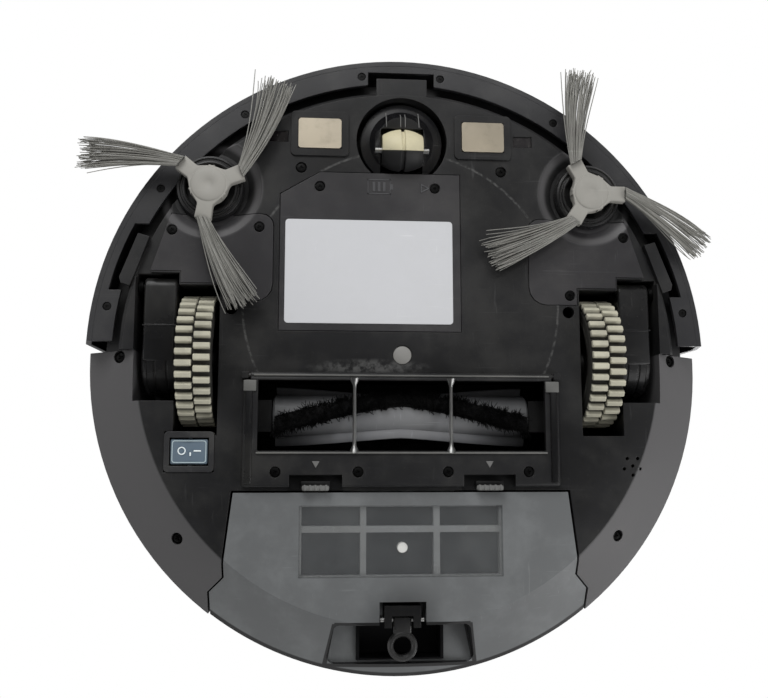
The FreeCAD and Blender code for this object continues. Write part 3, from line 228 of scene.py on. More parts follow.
def make_edge_group():
    """Worn edges that also stand for a painted edge highlight: where the surface turns sharply, broken up by
    noise.
    """
    tree, given, result = group_tree("Worn Edges And Highlight", [("Radius", 0.0006), ("Amount", 0.5)], ["Mask"])
    soft = tree.nodes.new("ShaderNodeBevel")
    soft.samples = 4
    tree.links.new(given.outputs["Radius"], soft.inputs["Radius"])
    plain = tree.nodes.new("ShaderNodeNewGeometry")
    dot = tree.nodes.new("ShaderNodeVectorMath")
    dot.operation = "DOT_PRODUCT"
    tree.links.new(soft.outputs["Normal"], dot.inputs[0])
    tree.links.new(plain.outputs["Normal"], dot.inputs[1])
    turn = difference(tree, 1.0, dot.outputs["Value"])
    patch = noise_node(tree, 160.0, 4.0)
    tree.links.new(own_place(tree), patch.inputs["Vector"])
    sharp = ramp(tree, turn, 0.01, 0.10)
    broken = product(tree, sharp, ramp(tree, patch.outputs["Fac"], 0.3, 0.6))
    tree.links.new(product(tree, broken, given.outputs["Amount"]), result.inputs["Mask"])
    return tree


GRAIN = make_grain_group()
SCRATCHES = make_scratch_group()
DUST = make_dust_group()
EDGES = make_edge_group()


def placed_group(tree, group, **values):
    node = tree.nodes.new("ShaderNodeGroup")
    node.node_tree = group
    for label, value in values.items():
        node.inputs[label.replace("_", " ")].default_value = value
    return node


def mixed(tree, factor, first, second):
    """A colour that goes from first to second with factor; each is a colour or a socket."""
    node = tree.nodes.new("ShaderNodeMix")
    node.data_type = "RGBA"
    if isinstance(factor, bpy.types.NodeSocket):
        tree.links.new(factor, node.inputs["Factor"])
    else:
        node.inputs["Factor"].default_value = factor
    for label, value in (("A", first), ("B", second)):
        socket = [item for item in node.inputs if item.name == label and item.type == "RGBA"][0]
        if isinstance(value, bpy.types.NodeSocket):
            tree.links.new(value, socket)
        else:
            socket.default_value = value
    return [item for item in node.outputs if item.type == "RGBA"][0]


def new_material(name, **sockets):
    """A material with plain values on its shader's own sockets."""
    material = bpy.data.materials.new(name)
    material.use_nodes = True
    shader = material.node_tree.nodes["Principled BSDF"]
    for label, value in sockets.items():
        shader.inputs[label.replace("_", " ")].default_value = value
    return material, material.node_tree, shader


DUST_COLOUR = tint(128, 126, 118)


def plastic(name, colour, roughness=0.5, grain=0.15, grain_scale=2200.0, film=0.12, corners=0.25,
            specks=0.3, scratch=0.5, edge_wear_and_highlight=0.35, soft_edge=0.0005, coat=0.0, shade=1.35, shine=0.5):
    """Moulded plastic with grain, uneven tone, fine scratches, dust, and pale worn edges that are partly a
    painted edge highlight.
    """
    material, tree, shader = new_material(name, Coat_Weight=coat, Coat_Roughness=0.12,
                                          Specular_IOR_Level=shine)
    grain_node = placed_group(tree, GRAIN, Scale=grain_scale)
    scratches = placed_group(tree, SCRATCHES, Amount=scratch)
    dust = placed_group(tree, DUST, Film=film, Corners=corners, Specks=specks)
    edges = placed_group(tree, EDGES, Radius=soft_edge, Amount=edge_wear_and_highlight)
    lighter = tuple(min(1.0, part * shade) for part in colour[:3]) + (1.0,)
    pale = tuple(min(1.0, part * 2.2 + 0.02) for part in colour[:3]) + (1.0,)
    base = mixed(tree, grain_node.outputs["Cloud"], colour, lighter)
    marked = mixed(tree, scratches.outputs["Mask"], base, pale)
    # pale edges: partly wear, partly a painted highlight along sharp edges
    worn = mixed(tree, edges.outputs["Mask"], marked, pale)
    dusted = mixed(tree, dust.outputs["Mask"], worn, DUST_COLOUR)
    tree.links.new(dusted, shader.inputs["Base Color"])
    rough = tree.nodes.new("ShaderNodeMapRange")
    tree.links.new(dust.outputs["Mask"], rough.inputs["Value"])
    rough.inputs["To Min"].default_value = roughness
    rough.inputs["To Max"].default_value = 0.9
    uneven = product(tree, grain_node.outputs["Cloud"], 0.08)
    tree.links.new(total(tree, rough.outputs["Result"], uneven), shader.inputs["Roughness"])
    soft = tree.nodes.new("ShaderNodeBevel")
    soft.samples = 4
    soft.inputs["Radius"].default_value = soft_edge
    bump = tree.nodes.new("ShaderNodeBump")
    bump.inputs["Strength"].default_value = grain
    bump.inputs["Distance"].default_value = 0.0002
    tree.links.new(grain_node.outputs["Height"], bump.inputs["Height"])
    tree.links.new(soft.outputs["Normal"], bump.inputs["Normal"])
    tree.links.new(bump.outputs["Normal"], shader.inputs["Normal"])
    return material


def metal(name, colour, roughness=0.3, brushed=(40.0, 40.0, 900.0), tarnish=0.3):
    """Metal with drawn or brushed lines and a little tarnish."""
    material, tree, shader = new_material(name, Metallic=1.0)
    lines = noise_node(tree, 1.0, 3.0)
    tree.links.new(own_place(tree, brushed), lines.inputs["Vector"])
    stain = noise_node(tree, 140.0, 5.0, 0.6)
    tree.links.new(own_place(tree), stain.inputs["Vector"])
    dark = tuple(part * 0.45 for part in colour[:3]) + (1.0,)
    spread = product(tree, ramp(tree, stain.outputs["Fac"], 0.45, 0.75), tarnish)
    tree.links.new(mixed(tree, spread, colour, dark), shader.inputs["Base Color"])
    vary = product(tree, lines.outputs["Fac"], 0.25)
    tree.links.new(total(tree, vary, roughness - 0.1), shader.inputs["Roughness"])
    bump = tree.nodes.new("ShaderNodeBump")
    bump.inputs["Strength"].default_value = 0.12
    bump.inputs["Distance"].default_value = 0.0001
    tree.links.new(lines.outputs["Fac"], bump.inputs["Height"])
    tree.links.new(bump.outputs["Normal"], shader.inputs["Normal"])
    return material


def distance_from(tree, centre, share):
    """How far a point is from centre, along the axes that share keeps."""
    mapping = tree.nodes.new("ShaderNodeMapping")
    mapping.inputs["Location"].default_value = [-value * part for value, part in zip(centre, share)]
    mapping.inputs["Scale"].default_value = share
    tree.links.new(own_place(tree), mapping.inputs["Vector"])
    length = tree.nodes.new("ShaderNodeVectorMath")
    length.operation = "LENGTH"
    tree.links.new(mapping.outputs["Vector"], length.inputs[0])
    return length.outputs["Value"]


def recoloured(material, make_mask, colour):
    """Lay another colour over a material where the mask is 1."""
    tree = material.node_tree
    socket = tree.nodes["Principled BSDF"].inputs["Base Color"]
    now = socket.links[0].from_socket
    tree.links.new(mixed(tree, make_mask(tree), now, colour), socket)
    return material


def own_axes(tree):
    split = tree.nodes.new("ShaderNodeSeparateXYZ")
    tree.links.new(own_place(tree), split.inputs[0])
    return split.outputs["X"], split.outputs["Y"], split.outputs["Z"]


def off_by(tree, value, middle_value):
    """How far a number is from middle_value, either way."""
    return magnitude(tree, difference(tree, value, middle_value))


def within(tree, value, reach, soft=0.0003):
    """1 while the value is below reach, with a soft end."""
    return difference(tree, 1.0, ramp(tree, value, reach, reach + soft))


def shaded_notch_edge(tree):
    """Painted shade: 1 on a narrow band along the edge of the tank's finger notch, which widens to the rear.
    """
    x, y, _ = own_axes(tree)
    aside = magnitude(tree, x)
    half = total(tree, product(tree, y, 0.2093), 0.00612)
    on_side = within(tree, off_by(tree, aside, half), 0.0010)
    flank = product(tree, on_side, within(tree, off_by(tree, y, 0.1416), 0.0114))
    past = difference(tree, aside, half)
    ends = larger(tree, within(tree, off_by(tree, y, 0.1303), 0.0008),
                  within(tree, off_by(tree, y, 0.1531), 0.0008))
    return larger(tree, flank, product(tree, ends, within(tree, past, 0.0)))


FILTER_MIDDLE = (-0.0006, 0.0907)
FILTER_HALF = (0.0501, 0.0169)
TANK_RIM_EDGE = 0.1570
STUD_Y = 0.094


def clear_plastic(name, colour, alpha, roughness=0.4):
    """Smoked plastic: seen through over the filter, hazed elsewhere, with painted shade along the rim, along
    the finger notch's edge and about the latch pin.
    """
    material, tree, shader = new_material(name, Roughness=roughness)
    dust = placed_group(tree, DUST, Film=0.35, Corners=0.1, Specks=0.05)
    scratches = placed_group(tree, SCRATCHES, Amount=0.4)
    haze = larger(tree, dust.outputs["Mask"], scratches.outputs["Mask"])
    body = mixed(tree, haze, colour, tint(134, 137, 138))
    # painted shade: near black beyond the rim edge and along the notch's edge
    rim = ramp(tree, distance_from(tree, (0, 0, 0), (1, 1, 0)), TANK_RIM_EDGE, TANK_RIM_EDGE + 0.0008)
    dark = larger(tree, rim, shaded_notch_edge(tree))
    pin = middle("latch_pin")
    # painted shade: a soft dark halo about the latch pin, where hidden parts would shade the tank
    by_the_pin = within(tree, distance_from(tree, (0, pin.y, 0), (0.8, 1, 0)), 0.006, 0.016)
    shaded = mixed(tree, product(tree, by_the_pin, 0.5), body, tint(30, 31, 32))
    tree.links.new(mixed(tree, dark, shaded, tint(16, 16, 17)), shader.inputs["Base Color"])
    x, y, z = own_axes(tree)
    past = [ramp(tree, off_by(tree, value, at), half, half + 0.0008)
            for value, at, half in zip((x, y), FILTER_MIDDLE, FILTER_HALF)]
    above = ramp(tree, z, FLOOR_LEVEL + 0.0035, FLOOR_LEVEL + 0.0040)
    solid = larger(tree, larger(tree, *past), larger(tree, above, dark))
    veil = product(tree, solid, 1.0 - alpha)
    over_stud = within(tree, distance_from(tree, (0, STUD_Y, 0), (1, 1, 0)), 0.0024)
    seen = math_node(tree, "SUBTRACT", total(tree, veil, alpha), product(tree, over_stud, alpha * 0.9),
                     clamp=True)
    tree.links.new(seen, shader.inputs["Alpha"])
    return material


MATERIALS = {
    "shell": plastic("shell_plastic", tint(22, 22, 23), 0.36, film=0.05, corners=0.05, specks=0.04, shade=1.7,
                     shine=0.32),
    "panel": plastic("panel_plastic", tint(38, 37, 39), 0.4, film=0.06, corners=0.05, specks=0.04, shade=1.5,
                     shine=0.36),
    "bumper": plastic("bumper_plastic", tint(28, 28, 30), 0.32, film=0.05, corners=0.05, specks=0.03,
                      shade=1.6, shine=0.42),
    "gloss": plastic("gloss_plastic", tint(15, 15, 17), 0.14, grain=0.02, film=0.03, corners=0.05,
                     specks=0.03, coat=0.5),
    "inner": plastic("inner_plastic", tint(10, 10, 11), 0.45, film=0.04, corners=0.05, specks=0.03,
                     shine=0.25),
    "guard": plastic("guard_plastic", tint(30, 30, 31), 0.3, film=0.07, corners=0.1, specks=0.05, shine=0.4),
    "label": plastic("label_film", tint(196, 197, 200), 0.4, grain=0.05, film=0.05, corners=0.0, specks=0.03,
                     scratch=0.15, edge_wear_and_highlight=0.0, shade=1.03),
    "contact": metal("contact_metal", tint(186, 177, 160), 0.42),
    "screw": metal("screw_metal", tint(32, 32, 32), 0.45),
    "steel": metal("bright_steel", tint(205, 205, 203), 0.3),
    "tyre": plastic("tyre_rubber", tint(176, 173, 156), 0.85, grain=0.6, grain_scale=1400, film=0.5,
                    corners=0.0, specks=0.1, scratch=0.2, edge_wear_and_highlight=0.2, shade=1.3, shine=0.2),
    "hub": plastic("hub_plastic", tint(18, 18, 18), 0.35, specks=0.05),
    "brush_hub": plastic("brush_hub_plastic", tint(146, 144, 138), 0.6, film=0.2, corners=0.1, specks=0.1,
                         scratch=0.1, shade=1.08),
    "bristle": plastic("bristle_nylon", tint(128, 127, 122), 0.5, grain=0.0, film=0.1, corners=0.0,
                       specks=0.0, shade=1.25),
    "roller": plastic("roller_plastic", tint(100, 101, 103), 0.5, film=0.1, corners=0.1),
    "roller_bristle": plastic("roller_bristle_nylon", tint(7, 7, 8), 0.8, film=0.02, corners=0.0,
                              specks=0.0, shine=0.1),
    "blade": plastic("blade_rubber", tint(94, 95, 98), 0.6, film=0.15),
    "caster": plastic("caster_plastic", tint(200, 192, 160), 0.5, film=0.15, corners=0.15, shade=1.08),
    "switch": plastic("switch_cover", tint(86, 102, 116), 0.5, film=0.1, corners=0.1, shade=1.1),
    "bezel": plastic("bezel_plastic", tint(34, 34, 36), 0.35, specks=0.05),
    "tank": clear_plastic("tank_plastic", tint(98, 100, 101), 0.28),
    "filter": plastic("filter_plastic", tint(166, 169, 170), 0.6, film=0.2, specks=0.05),
    # painted reflection: the filter stud is near white to stand for the bright reflection it shows
    "stud": plastic("stud_painted_reflection", tint(226, 226, 220), 0.35, film=0.05, corners=0.0, specks=0.0),
    "filter_mesh": plastic("filter_mesh_weave", tint(20, 25, 31), 0.8, grain=0.3, grain_scale=3200, film=0.1,
                           corners=0.0, specks=0.1),
    # painted shade: near-black plastic for the box that stands for the shade in the finger notch
    "notch_shade_black": plastic("unlit_plastic", tint(20, 20, 21), 0.8, film=0.0, corners=0.0, specks=0.0, scratch=0.0,
                    edge_wear_and_highlight=0.0, shine=0.05),
    "board": plastic("board_laminate", tint(30, 90, 50), 0.5),
    "cell": plastic("cell_film", tint(40, 70, 130), 0.4),
    "gear": plastic("gear_acetal", tint(220, 218, 208), 0.4),
    "gloss_worn": plastic("worn_gloss_plastic", tint(20, 20, 21), 0.2, grain=0.04, film=0.05, corners=0.1,
                          specks=0.05, coat=0.3),
    "guard_pale_highlight": plastic("pale_guard_highlight_plastic", tint(84, 84, 82), 0.45, film=0.2),
    "mark_grey": plastic("moulded_mark", tint(92, 92, 91), 0.6, film=0.1),
    "mark_dark": plastic("moulded_sign", tint(58, 58, 60), 0.4, film=0.0, specks=0.0),
    "disc_grey": plastic("centre_disc_plastic", tint(120, 119, 116), 0.5, film=0.2),
    "sign_white": plastic("sign_paint", tint(214, 222, 228), 0.5, grain=0.0, film=0.1),
    "switch_border": plastic("switch_border_paint", tint(150, 165, 170), 0.5, grain=0.0, film=0.1),
    "lens": plastic("lens_plastic", tint(14, 10, 14), 0.1, grain=0.0, coat=0.6),
}


def dark_below_the_lugs(tree):
    """1 on the tyre's carcass, 0 on the tops of its lugs."""
    low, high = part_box("left_tyre")
    centre = (low + high) / 2
    radius = (high.z - low.z) / 2
    away = distance_from(tree, (0, centre.y, centre.z), (0, 1, 1))
    return difference(tree, 1.0, ramp(tree, away, radius - 0.0026, radius - 0.0008))


CASTER_SPLIT = math.radians(18)


def painted_shade_on_caster_rear(tree):
    """Painted shade: 1 on the rear half of the caster's wheel, behind a plane that leans on the axle, which
    is painted near black as shade.
    """
    axle = middle("caster_axle")
    _, y, z = own_axes(tree)
    behind = product(tree, difference(tree, y, axle.y), math.cos(CASTER_SPLIT))
    above = product(tree, difference(tree, z, axle.z), math.sin(CASTER_SPLIT))
    return ramp(tree, total(tree, behind, above), -0.0001, 0.0001)


def joint_place(name):
    return Vector(next(joint["pos_m"] for joint in frame["record"]["behaviour"]["joints"]
                       if joint["name"] == name))


def painted_light_on_slope_and_ridge(tree):
    """Painted light: 1 on the sloped rim behind the bumper, painted paler as if lit from the side, and on the
    ridge about each side brush, painted as a sheen.
    """
    _, y, _ = own_axes(tree)
    outside = ramp(tree, distance_from(tree, (0, 0, 0), (1, 1, 0)), 0.1318, 0.1332)
    rim = product(tree, outside, ramp(tree, y, -0.0036, -0.0032))
    away = [distance_from(tree, joint_place(side_name + "_side_brush_spin"), (1, 1, 0))
            for side_name, _ in SIDES]
    near_ring = off_by(tree, math_node(tree, "MINIMUM", *away), 0.0248)
    ridge = product(tree, within(tree, near_ring, 0.0006, 0.0026), 0.75)
    return larger(tree, product(tree, rim, 0.85), ridge)


def dirt_at_the_ends(tree):
    """Towards 1 at both ends of the main brush, where hair and dust gather."""
    noise = noise_node(tree, 120.0, 4.0, 0.6)
    tree.links.new(own_place(tree), noise.inputs["Vector"])
    aside = magnitude(tree, own_axes(tree)[0])
    patch = total(tree, product(tree, noise.outputs["Fac"], 0.5), 0.45)
    return product(tree, ramp(tree, aside, 0.026, 0.066), patch)


def painted_shade_in_the_shell(tree):
    """Painted shade: 1 in the wells, the brush bay and the pockets behind the guard's latches, which are
    painted near black as shade.
    """
    x, y, z = own_axes(tree)
    deep = ramp(tree, z, FLOOR_LEVEL + 0.0022, FLOOR_LEVEL + 0.0045)
    inside_rim = within(tree, distance_from(tree, (0, 0, 0), (1, 1, 0)), 0.1285, 0.002)
    latch = middle("right_guard_latch")
    beside = within(tree, off_by(tree, magnitude(tree, x), latch.x), 0.0134)
    behind = within(tree, off_by(tree, y, latch.y - 0.0005), 0.0044)
    return larger(tree, product(tree, deep, inside_rim), product(tree, beside, behind))


def floor_scuffs(tree):
    """A faint arc between the charging contacts and a rubbed patch in front of the guard."""
    noise = noise_node(tree, 260.0, 5.0, 0.7)
    tree.links.new(own_place(tree), noise.inputs["Vector"])
    off_arc = off_by(tree, distance_from(tree, (0, -0.028, 0), (1, 1, 0)), 0.0808)
    arc = difference(tree, 0.20, ramp(tree, off_arc, 0.0001, 0.0024))
    rubbed = distance_from(tree, (-0.017, 0.0050, 0), (0.26, 1.7, 0))
    near = difference(tree, 0.26, ramp(tree, rubbed, 0.000, 0.026))
    both = larger(tree, larger(tree, arc, near), 0.0)
    return product(tree, both, ramp(tree, noise.outputs["Fac"], 0.38, 0.62))


SIDES = (("left", -1), ("right", 1))

for material_name, mask, colour_over in (
        # painted shade: the caster wheel's rear half is painted near black
        ("tyre", dark_below_the_lugs, tint(46, 45, 42)), ("caster", painted_shade_on_caster_rear, tint(24, 24, 25)),
        ("roller", dirt_at_the_ends, tint(30, 30, 31)), ("blade", dirt_at_the_ends, tint(40, 40, 41)),
        # painted light: the slope behind the bumper and the ridges about the side brushes are painted paler,
        # as lit surfaces
        ("shell", painted_light_on_slope_and_ridge, tint(90, 89, 90)), ("panel", painted_light_on_slope_and_ridge, tint(90, 89, 90)),
        # painted shade: the wells, the brush bay and the latch pockets are painted near black
        ("shell", floor_scuffs, tint(150, 150, 148)), ("shell", painted_shade_in_the_shell, tint(7, 7, 8))):
    recoloured(MATERIALS[material_name], mask, colour_over)


def both(*parts):
    """The left and the right node of each part."""
    return [side_name + "_" + part for part in parts for side_name, _ in SIDES]


MATERIAL_NODES = {
    "shell": ["base_shell"], "gloss": ["top_shell", "top_plate", "caster_dome"], "label": ["rating_plate"],
    "panel": ["battery_cover", *both("wheel_panel")], "cell": ["battery_pack"], "board": ["main_board"],
    "contact": ["charging_contacts"], "lens": ["cliff_sensors"], "bumper": ["bumper_shell", "bumper_flange"],
    "screw": ["underside_screws", "pivot_pins", "suspension_springs", "bumper_screws", "guard_screws"],
    "inner": ["fan_unit", "speaker", "bump_switches", "side_brush_gearboxes", "roller_bearings",
              "latch_bracket", *both("drive_housing")],
    "bezel": ["switch_bezel", "power_button", "home_button"], "switch": ["switch_rocker"],
    "steel": ["caster_axle", "guard_wires", "latch_pin", *both("drive_motor", "wheel_axle")],
    "tyre": both("tyre"), "hub": both("wheel_hub"), "gear": both("drive_gear"), "caster": ["caster_wheel"],
    "roller": ["roller_core"], "roller_bristle": ["roller_bristles"], "blade": ["roller_blades"],
    "guard": ["guard_frame", *both("guard_latch")], "brush_hub": both("side_brush_hub"),
    "bristle": both("side_bristles"), "tank": ["tank_shell", "tank_lid"], "stud": ["filter_stud"],
    "filter": ["filter_frame", "latch_lever"],
}


def dress_frame():
    """Give every node of the frame its finish."""
    for name, nodes in MATERIAL_NODES.items():
        for node in nodes:
            piece = frame["nodes"][node]
            for slot in piece.material_slots:
                slot.material = MATERIALS[name]
            if not piece.material_slots:
                piece.data.materials.append(MATERIALS[name])


dress_frame()

# ---------------------------------------------------------------- modelling helpers


NEAR = 1e-5


def select_only(*pieces):
    bpy.ops.object.select_all(action="DESELECT")
    for piece in pieces:
        piece.select_set(True)
    bpy.context.view_layer.objects.active = pieces[0]


def settle(name):
    """Name the newest object and put its place, turn and size into its mesh."""
    piece = bpy.context.active_object
    bpy.ops.object.transform_apply(location=True, rotation=True, scale=True)
    piece.name = name
    piece.data.name = name
    return piece


def block(name, low, high):
    """A block between two corners."""
    low, high = Vector(low), Vector(high)
    bpy.ops.object.select_all(action="DESELECT")
    bpy.ops.mesh.primitive_cube_add(size=1.0, location=(low + high) / 2, scale=high - low)
    return settle(name)


def tapered_block(name, low, high, share, side):
    """A block whose face on one side (+1 top, -1 bottom) is scaled by share in X and Y."""
    piece = block(name, low, high)
    bpy.ops.object.mode_set(mode="EDIT")
    bpy.ops.mesh.select_all(action="DESELECT")
    bpy.ops.object.mode_set(mode="OBJECT")
    for face in piece.data.polygons:
        face.select = face.normal.z * side > 0.9
    bpy.ops.object.mode_set(mode="EDIT")
    centre = (Vector(low) + Vector(high)) / 2
    bpy.ops.transform.resize(value=(share[0], share[1], 1.0), center_override=centre)
    bpy.ops.object.mode_set(mode="OBJECT")
    return piece


def lathe(name, profile, sides=64):
    """A turned piece about Z: a circle extruded and scaled along the profile of (radius, height)."""
    radius, height = profile[0]
    bpy.ops.object.select_all(action="DESELECT")
    bpy.ops.mesh.primitive_circle_add(vertices=sides, radius=max(radius, 1e-5), location=(0, 0, height))
    piece = settle(name)
    bpy.ops.object.mode_set(mode="EDIT")
    bpy.ops.mesh.select_all(action="SELECT")
    for next_radius, next_height in profile[1:]:
        next_radius = max(next_radius, 1e-5)
        rise = (0, 0, next_height - height)
        bpy.ops.mesh.extrude_region_move(TRANSFORM_OT_translate={"value": rise})
        share = next_radius / max(radius, 1e-5)
        bpy.ops.transform.resize(value=(share, share, 1.0), center_override=(0, 0, next_height))
        radius, height = next_radius, next_height
    bpy.ops.mesh.select_all(action="SELECT")
    bpy.ops.mesh.remove_doubles(threshold=0.00003)
    bpy.ops.mesh.normals_make_consistent(inside=False)
    bpy.ops.object.mode_set(mode="OBJECT")
    return piece


def turned(degrees, axis="Z"):
    return Matrix.Rotation(math.radians(degrees), 4, axis)


TO_X = turned(90, "Y")
TO_Y = turned(-90, "X")


def place(piece, *steps):
    """Move the mesh itself through one or more transforms, the first one first."""
    for step in steps:
        piece.data.transform(step)
        if step.determinant() < 0:
            piece.data.flip_normals()
    piece.data.update()
    return piece


def shifted(x, y, z):
    return Matrix.Translation((x, y, z))


def twin(piece, name, *steps):
    """A copy with a mesh of its own, moved through the given transforms."""
    made = bpy.data.objects.new(name, piece.data.copy())
    bpy.context.collection.objects.link(made)
    return place(made, *steps)


def pick(piece, chosen):
    """Select the vertices whose place passes the test."""
    select_only(piece)
    bpy.ops.object.mode_set(mode="EDIT")
    bpy.ops.mesh.select_mode(type="VERT")
    bpy.ops.mesh.select_all(action="DESELECT")
    bpy.ops.object.mode_set(mode="OBJECT")
    for vert in piece.data.vertices:
        vert.select = chosen(vert.co)
    bpy.ops.object.mode_set(mode="EDIT")


def nudged(piece, chosen, shift):
    """Move the vertices that pass the test."""
    pick(piece, chosen)
    bpy.ops.transform.translate(value=shift)
    bpy.ops.object.mode_set(mode="OBJECT")
    return piece


def resized(piece, chosen, share, centre):
    """Scale the vertices that pass the test about centre."""
    pick(piece, chosen)
    bpy.ops.transform.resize(value=share, center_override=centre)
    bpy.ops.object.mode_set(mode="OBJECT")
    return piece


def bevelled(piece, chosen, width, segments):
    """Bevel the edges whose two ends pass the test."""
    select_only(piece)
    bpy.ops.object.mode_set(mode="EDIT")
    bpy.ops.mesh.select_mode(type="EDGE")
    bpy.ops.mesh.select_all(action="DESELECT")
    bpy.ops.object.mode_set(mode="OBJECT")
    for edge in piece.data.edges:
        edge.select = chosen(*[piece.data.vertices[index].co for index in edge.vertices])
    bpy.ops.object.mode_set(mode="EDIT")
    bpy.ops.mesh.bevel(offset=width, segments=segments, affect="EDGES")
    bpy.ops.mesh.select_mode(type="VERT")
    bpy.ops.object.mode_set(mode="OBJECT")
    return piece


def rounded_plate(name, low, high, radius):
    """A flat plate with its four upright edges rounded."""
    return bevelled(block(name, low, high), lambda first, second: (first - second).xy.length < NEAR,
                    radius, 5)


def apply_modifier(piece, kind, **values):
    modifier = piece.modifiers.new(kind.lower(), kind)
    for label, value in values.items():
        setattr(modifier, label, value)
    select_only(piece)
    bpy.ops.object.modifier_apply(modifier=modifier.name)
    return piece


def soften(piece, width, segments=2, angle=35):
    return apply_modifier(piece, "BEVEL", width=width, segments=segments, limit_method="ANGLE",
                          angle_limit=math.radians(angle))


def carve(piece, tools, operation="DIFFERENCE"):
    """Cut the tools out of the piece, or weld them onto it, and throw the tools away."""
    for tool in tools:
        apply_modifier(piece, "BOOLEAN", object=tool, operation=operation, solver="EXACT")
        bpy.data.objects.remove(tool)
    return piece


def joined(name, pieces):
    select_only(*pieces)
    bpy.ops.object.join()
    piece = bpy.context.active_object
    piece.name = name
    piece.data.name = name
    return piece


def hand_over(piece, material, body, slot, *nodes, angle=35):
    """Finish a piece: its shading, its material, the body it rides on and the nodes it stands for."""
    select_only(piece)
    bpy.ops.object.shade_smooth_by_angle(angle=math.radians(angle))
    piece.data.materials.clear()
    piece.data.materials.append(MATERIALS[material])
    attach(piece, body)
    if nodes:
        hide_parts(*nodes)
    return piece


def island_centres(node):
    """The middle of each separate solid in a node's mesh, and its size."""
    mesh = bmesh.new()
    mesh.from_mesh(frame["nodes"][node].data)
    bmesh.ops.remove_doubles(mesh, verts=mesh.verts, dist=1e-6)
    waiting = set(mesh.verts)
    found = []
    while waiting:
        stack = [waiting.pop()]
        corners = []
        while stack:
            vert = stack.pop()
            corners.append(vert.co.copy())
            for edge in vert.link_edges:
                other = edge.other_vert(vert)
                if other in waiting:
                    waiting.remove(other)
                    stack.append(other)
        low = Vector(min(corner[axis] for corner in corners) for axis in range(3))
        high = Vector(max(corner[axis] for corner in corners) for axis in range(3))
        found.append(((low + high) / 2, high - low))
    mesh.free()
    return sorted(found, key=lambda item: (round(item[0].x, 4), round(item[0].y, 4)))


# ---------------------------------------------------------------- wheels

TREAD_BLOCKS = 36


def make_tread_block():
    """One rubber lug: a block with sloped flanks, standing on the carcass."""
    lug = tapered_block("lug", (-0.0020, -0.0042, 0.0), (0.0020, 0.0042, 0.0033), (0.62, 0.95), 1)
    return soften(lug, 0.0003, 1)


def make_tyre(side_name):
    """Two staggered rows of lugs about a rounded carcass."""
    low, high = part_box(side_name + "_tyre")
    centre = (low + high) / 2
    half = (high.x - low.x) / 2
    radius = (high.z - low.z) / 2
    bed, bore = radius - 0.0027, radius - 0.008
    carcass = lathe(side_name + "_carcass", [
        (bore, -half), (bed - 0.0016, -half), (bed - 0.0003, -half + 0.001), (bed, -half + 0.0022),
        (bed, half - 0.0022), (bed - 0.0003, half - 0.001), (bed - 0.0016, half), (bore, half),
        (bore, -half)], 96)
    place(carcass, TO_X, shifted(*centre))
    lug = make_tread_block()
    pieces = [carcass]
    for row in (-1, 1):
        for index in range(TREAD_BLOCKS):
            turn = turned(360 * (index + row * 0.25) / TREAD_BLOCKS, "X")
            out = shifted(row * (half - 0.0043), 0, bed - 0.0005)
            pieces.append(twin(lug, "lug_copy", turned(row * 90), out, turn, shifted(*centre)))
    bpy.data.objects.remove(lug)
    tyre = joined(side_name + "_tread_tyre", pieces)
    hand_over(tyre, "tyre", side_name + "_wheel", "tyre_rubber", side_name + "_tyre", angle=30)


def make_drive_case(side_name, side):
    """The swing arm's case: a wedge over the motor and a stepped drum about the axle."""
    low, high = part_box(side_name + "_drive_housing")
    axle = middle(side_name + "_wheel_axle")
    drum = high.y - axle.y
    half = (high.x - low.x) / 2
    front = block(side_name + "_case_front", (low.x + 0.0006, low.y, low.z), (high.x - 0.0006, 0.002, 0.0474))
    bevelled(front, lambda first, second: max(first.y, second.y) < low.y + NEAR
             and abs(first.z - second.z) < NEAR, 0.0052, 6)
    soften(front, 0.0012, 3)
    steps = [(0, -half), (drum - 0.0008, -half), (drum, -half + 0.0008)]
    for groove in (-0.0045, 0.0015):
        steps += [(drum, groove), (drum - 0.0005, groove + 0.0003), (drum - 0.0005, groove + 0.0009),
                  (drum, groove + 0.0012)]
    steps += [(drum, half - 0.0030), (drum - 0.0009, half - 0.0024), (drum - 0.0010, half - 0.0008),
              (drum - 0.0020, half), (0, half)]
    barrel = lathe(side_name + "_case_drum", steps, 72)
    place(barrel, TO_X, Matrix.Scale(side, 4, (1, 0, 0)), shifted((low.x + high.x) / 2, axle.y, axle.z))
    case = carve(front, [barrel], "UNION")
    rib = block("rib", (low.x + 0.0003, -0.0165, low.z - 0.0002), (high.x - 0.0003, -0.0157, low.z + 0.0006))
    case = joined(side_name + "_drive_case", [case, rib])
    hand_over(case, "gloss_worn", side_name + "_arm", "drive_black", side_name + "_drive_housing")


def make_wheel_disc(side_name, side):
    """The wheel's hub: a dished disc with a raised rim and a boss in the middle."""
    low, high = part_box(side_name + "_wheel_hub")
    centre = (low + high) / 2
    half = (high.x - low.x) / 2
    radius = (high.z - low.z) / 2
    disc = lathe(side_name + "_disc", [
        (0.0031, 0.0005 - half), (0.0062, 0.0005 - half), (0.0068, 0.0012 - half), (0.0072, 0.0036 - half),
        (0.011, 0.0044 - half), (radius - 0.006, 0.0032 - half), (radius - 0.0035, 0.0008 - half),
        (radius - 0.0022, -half), (radius, -half), (radius, half), (radius - 0.003, half),
        (radius - 0.003, 0.001), (0.0075, 0.001), (0.0075, 0.004), (0.0031, 0.004),
        (0.0031, 0.0005 - half)], 72)
    place(disc, TO_X, Matrix.Scale(side, 4, (1, 0, 0)), shifted(*centre))
    hand_over(disc, "hub", side_name + "_wheel", "hub_black", side_name + "_wheel_hub")


# ---------------------------------------------------------------- side brushes

BRUSH_ARMS = {"left": ((-142, -26), (-22, -35), (98, -26)), "right": ((2, 25), (122, 25), (-118, 25))}
BRISTLES_PER_TUFT = 84
COLLAR_STANDS_OUT = 0.0006
ARM_WAIST = 0.0104
TUFT_ROOT = 0.0176
TUFT_REACH = 0.065


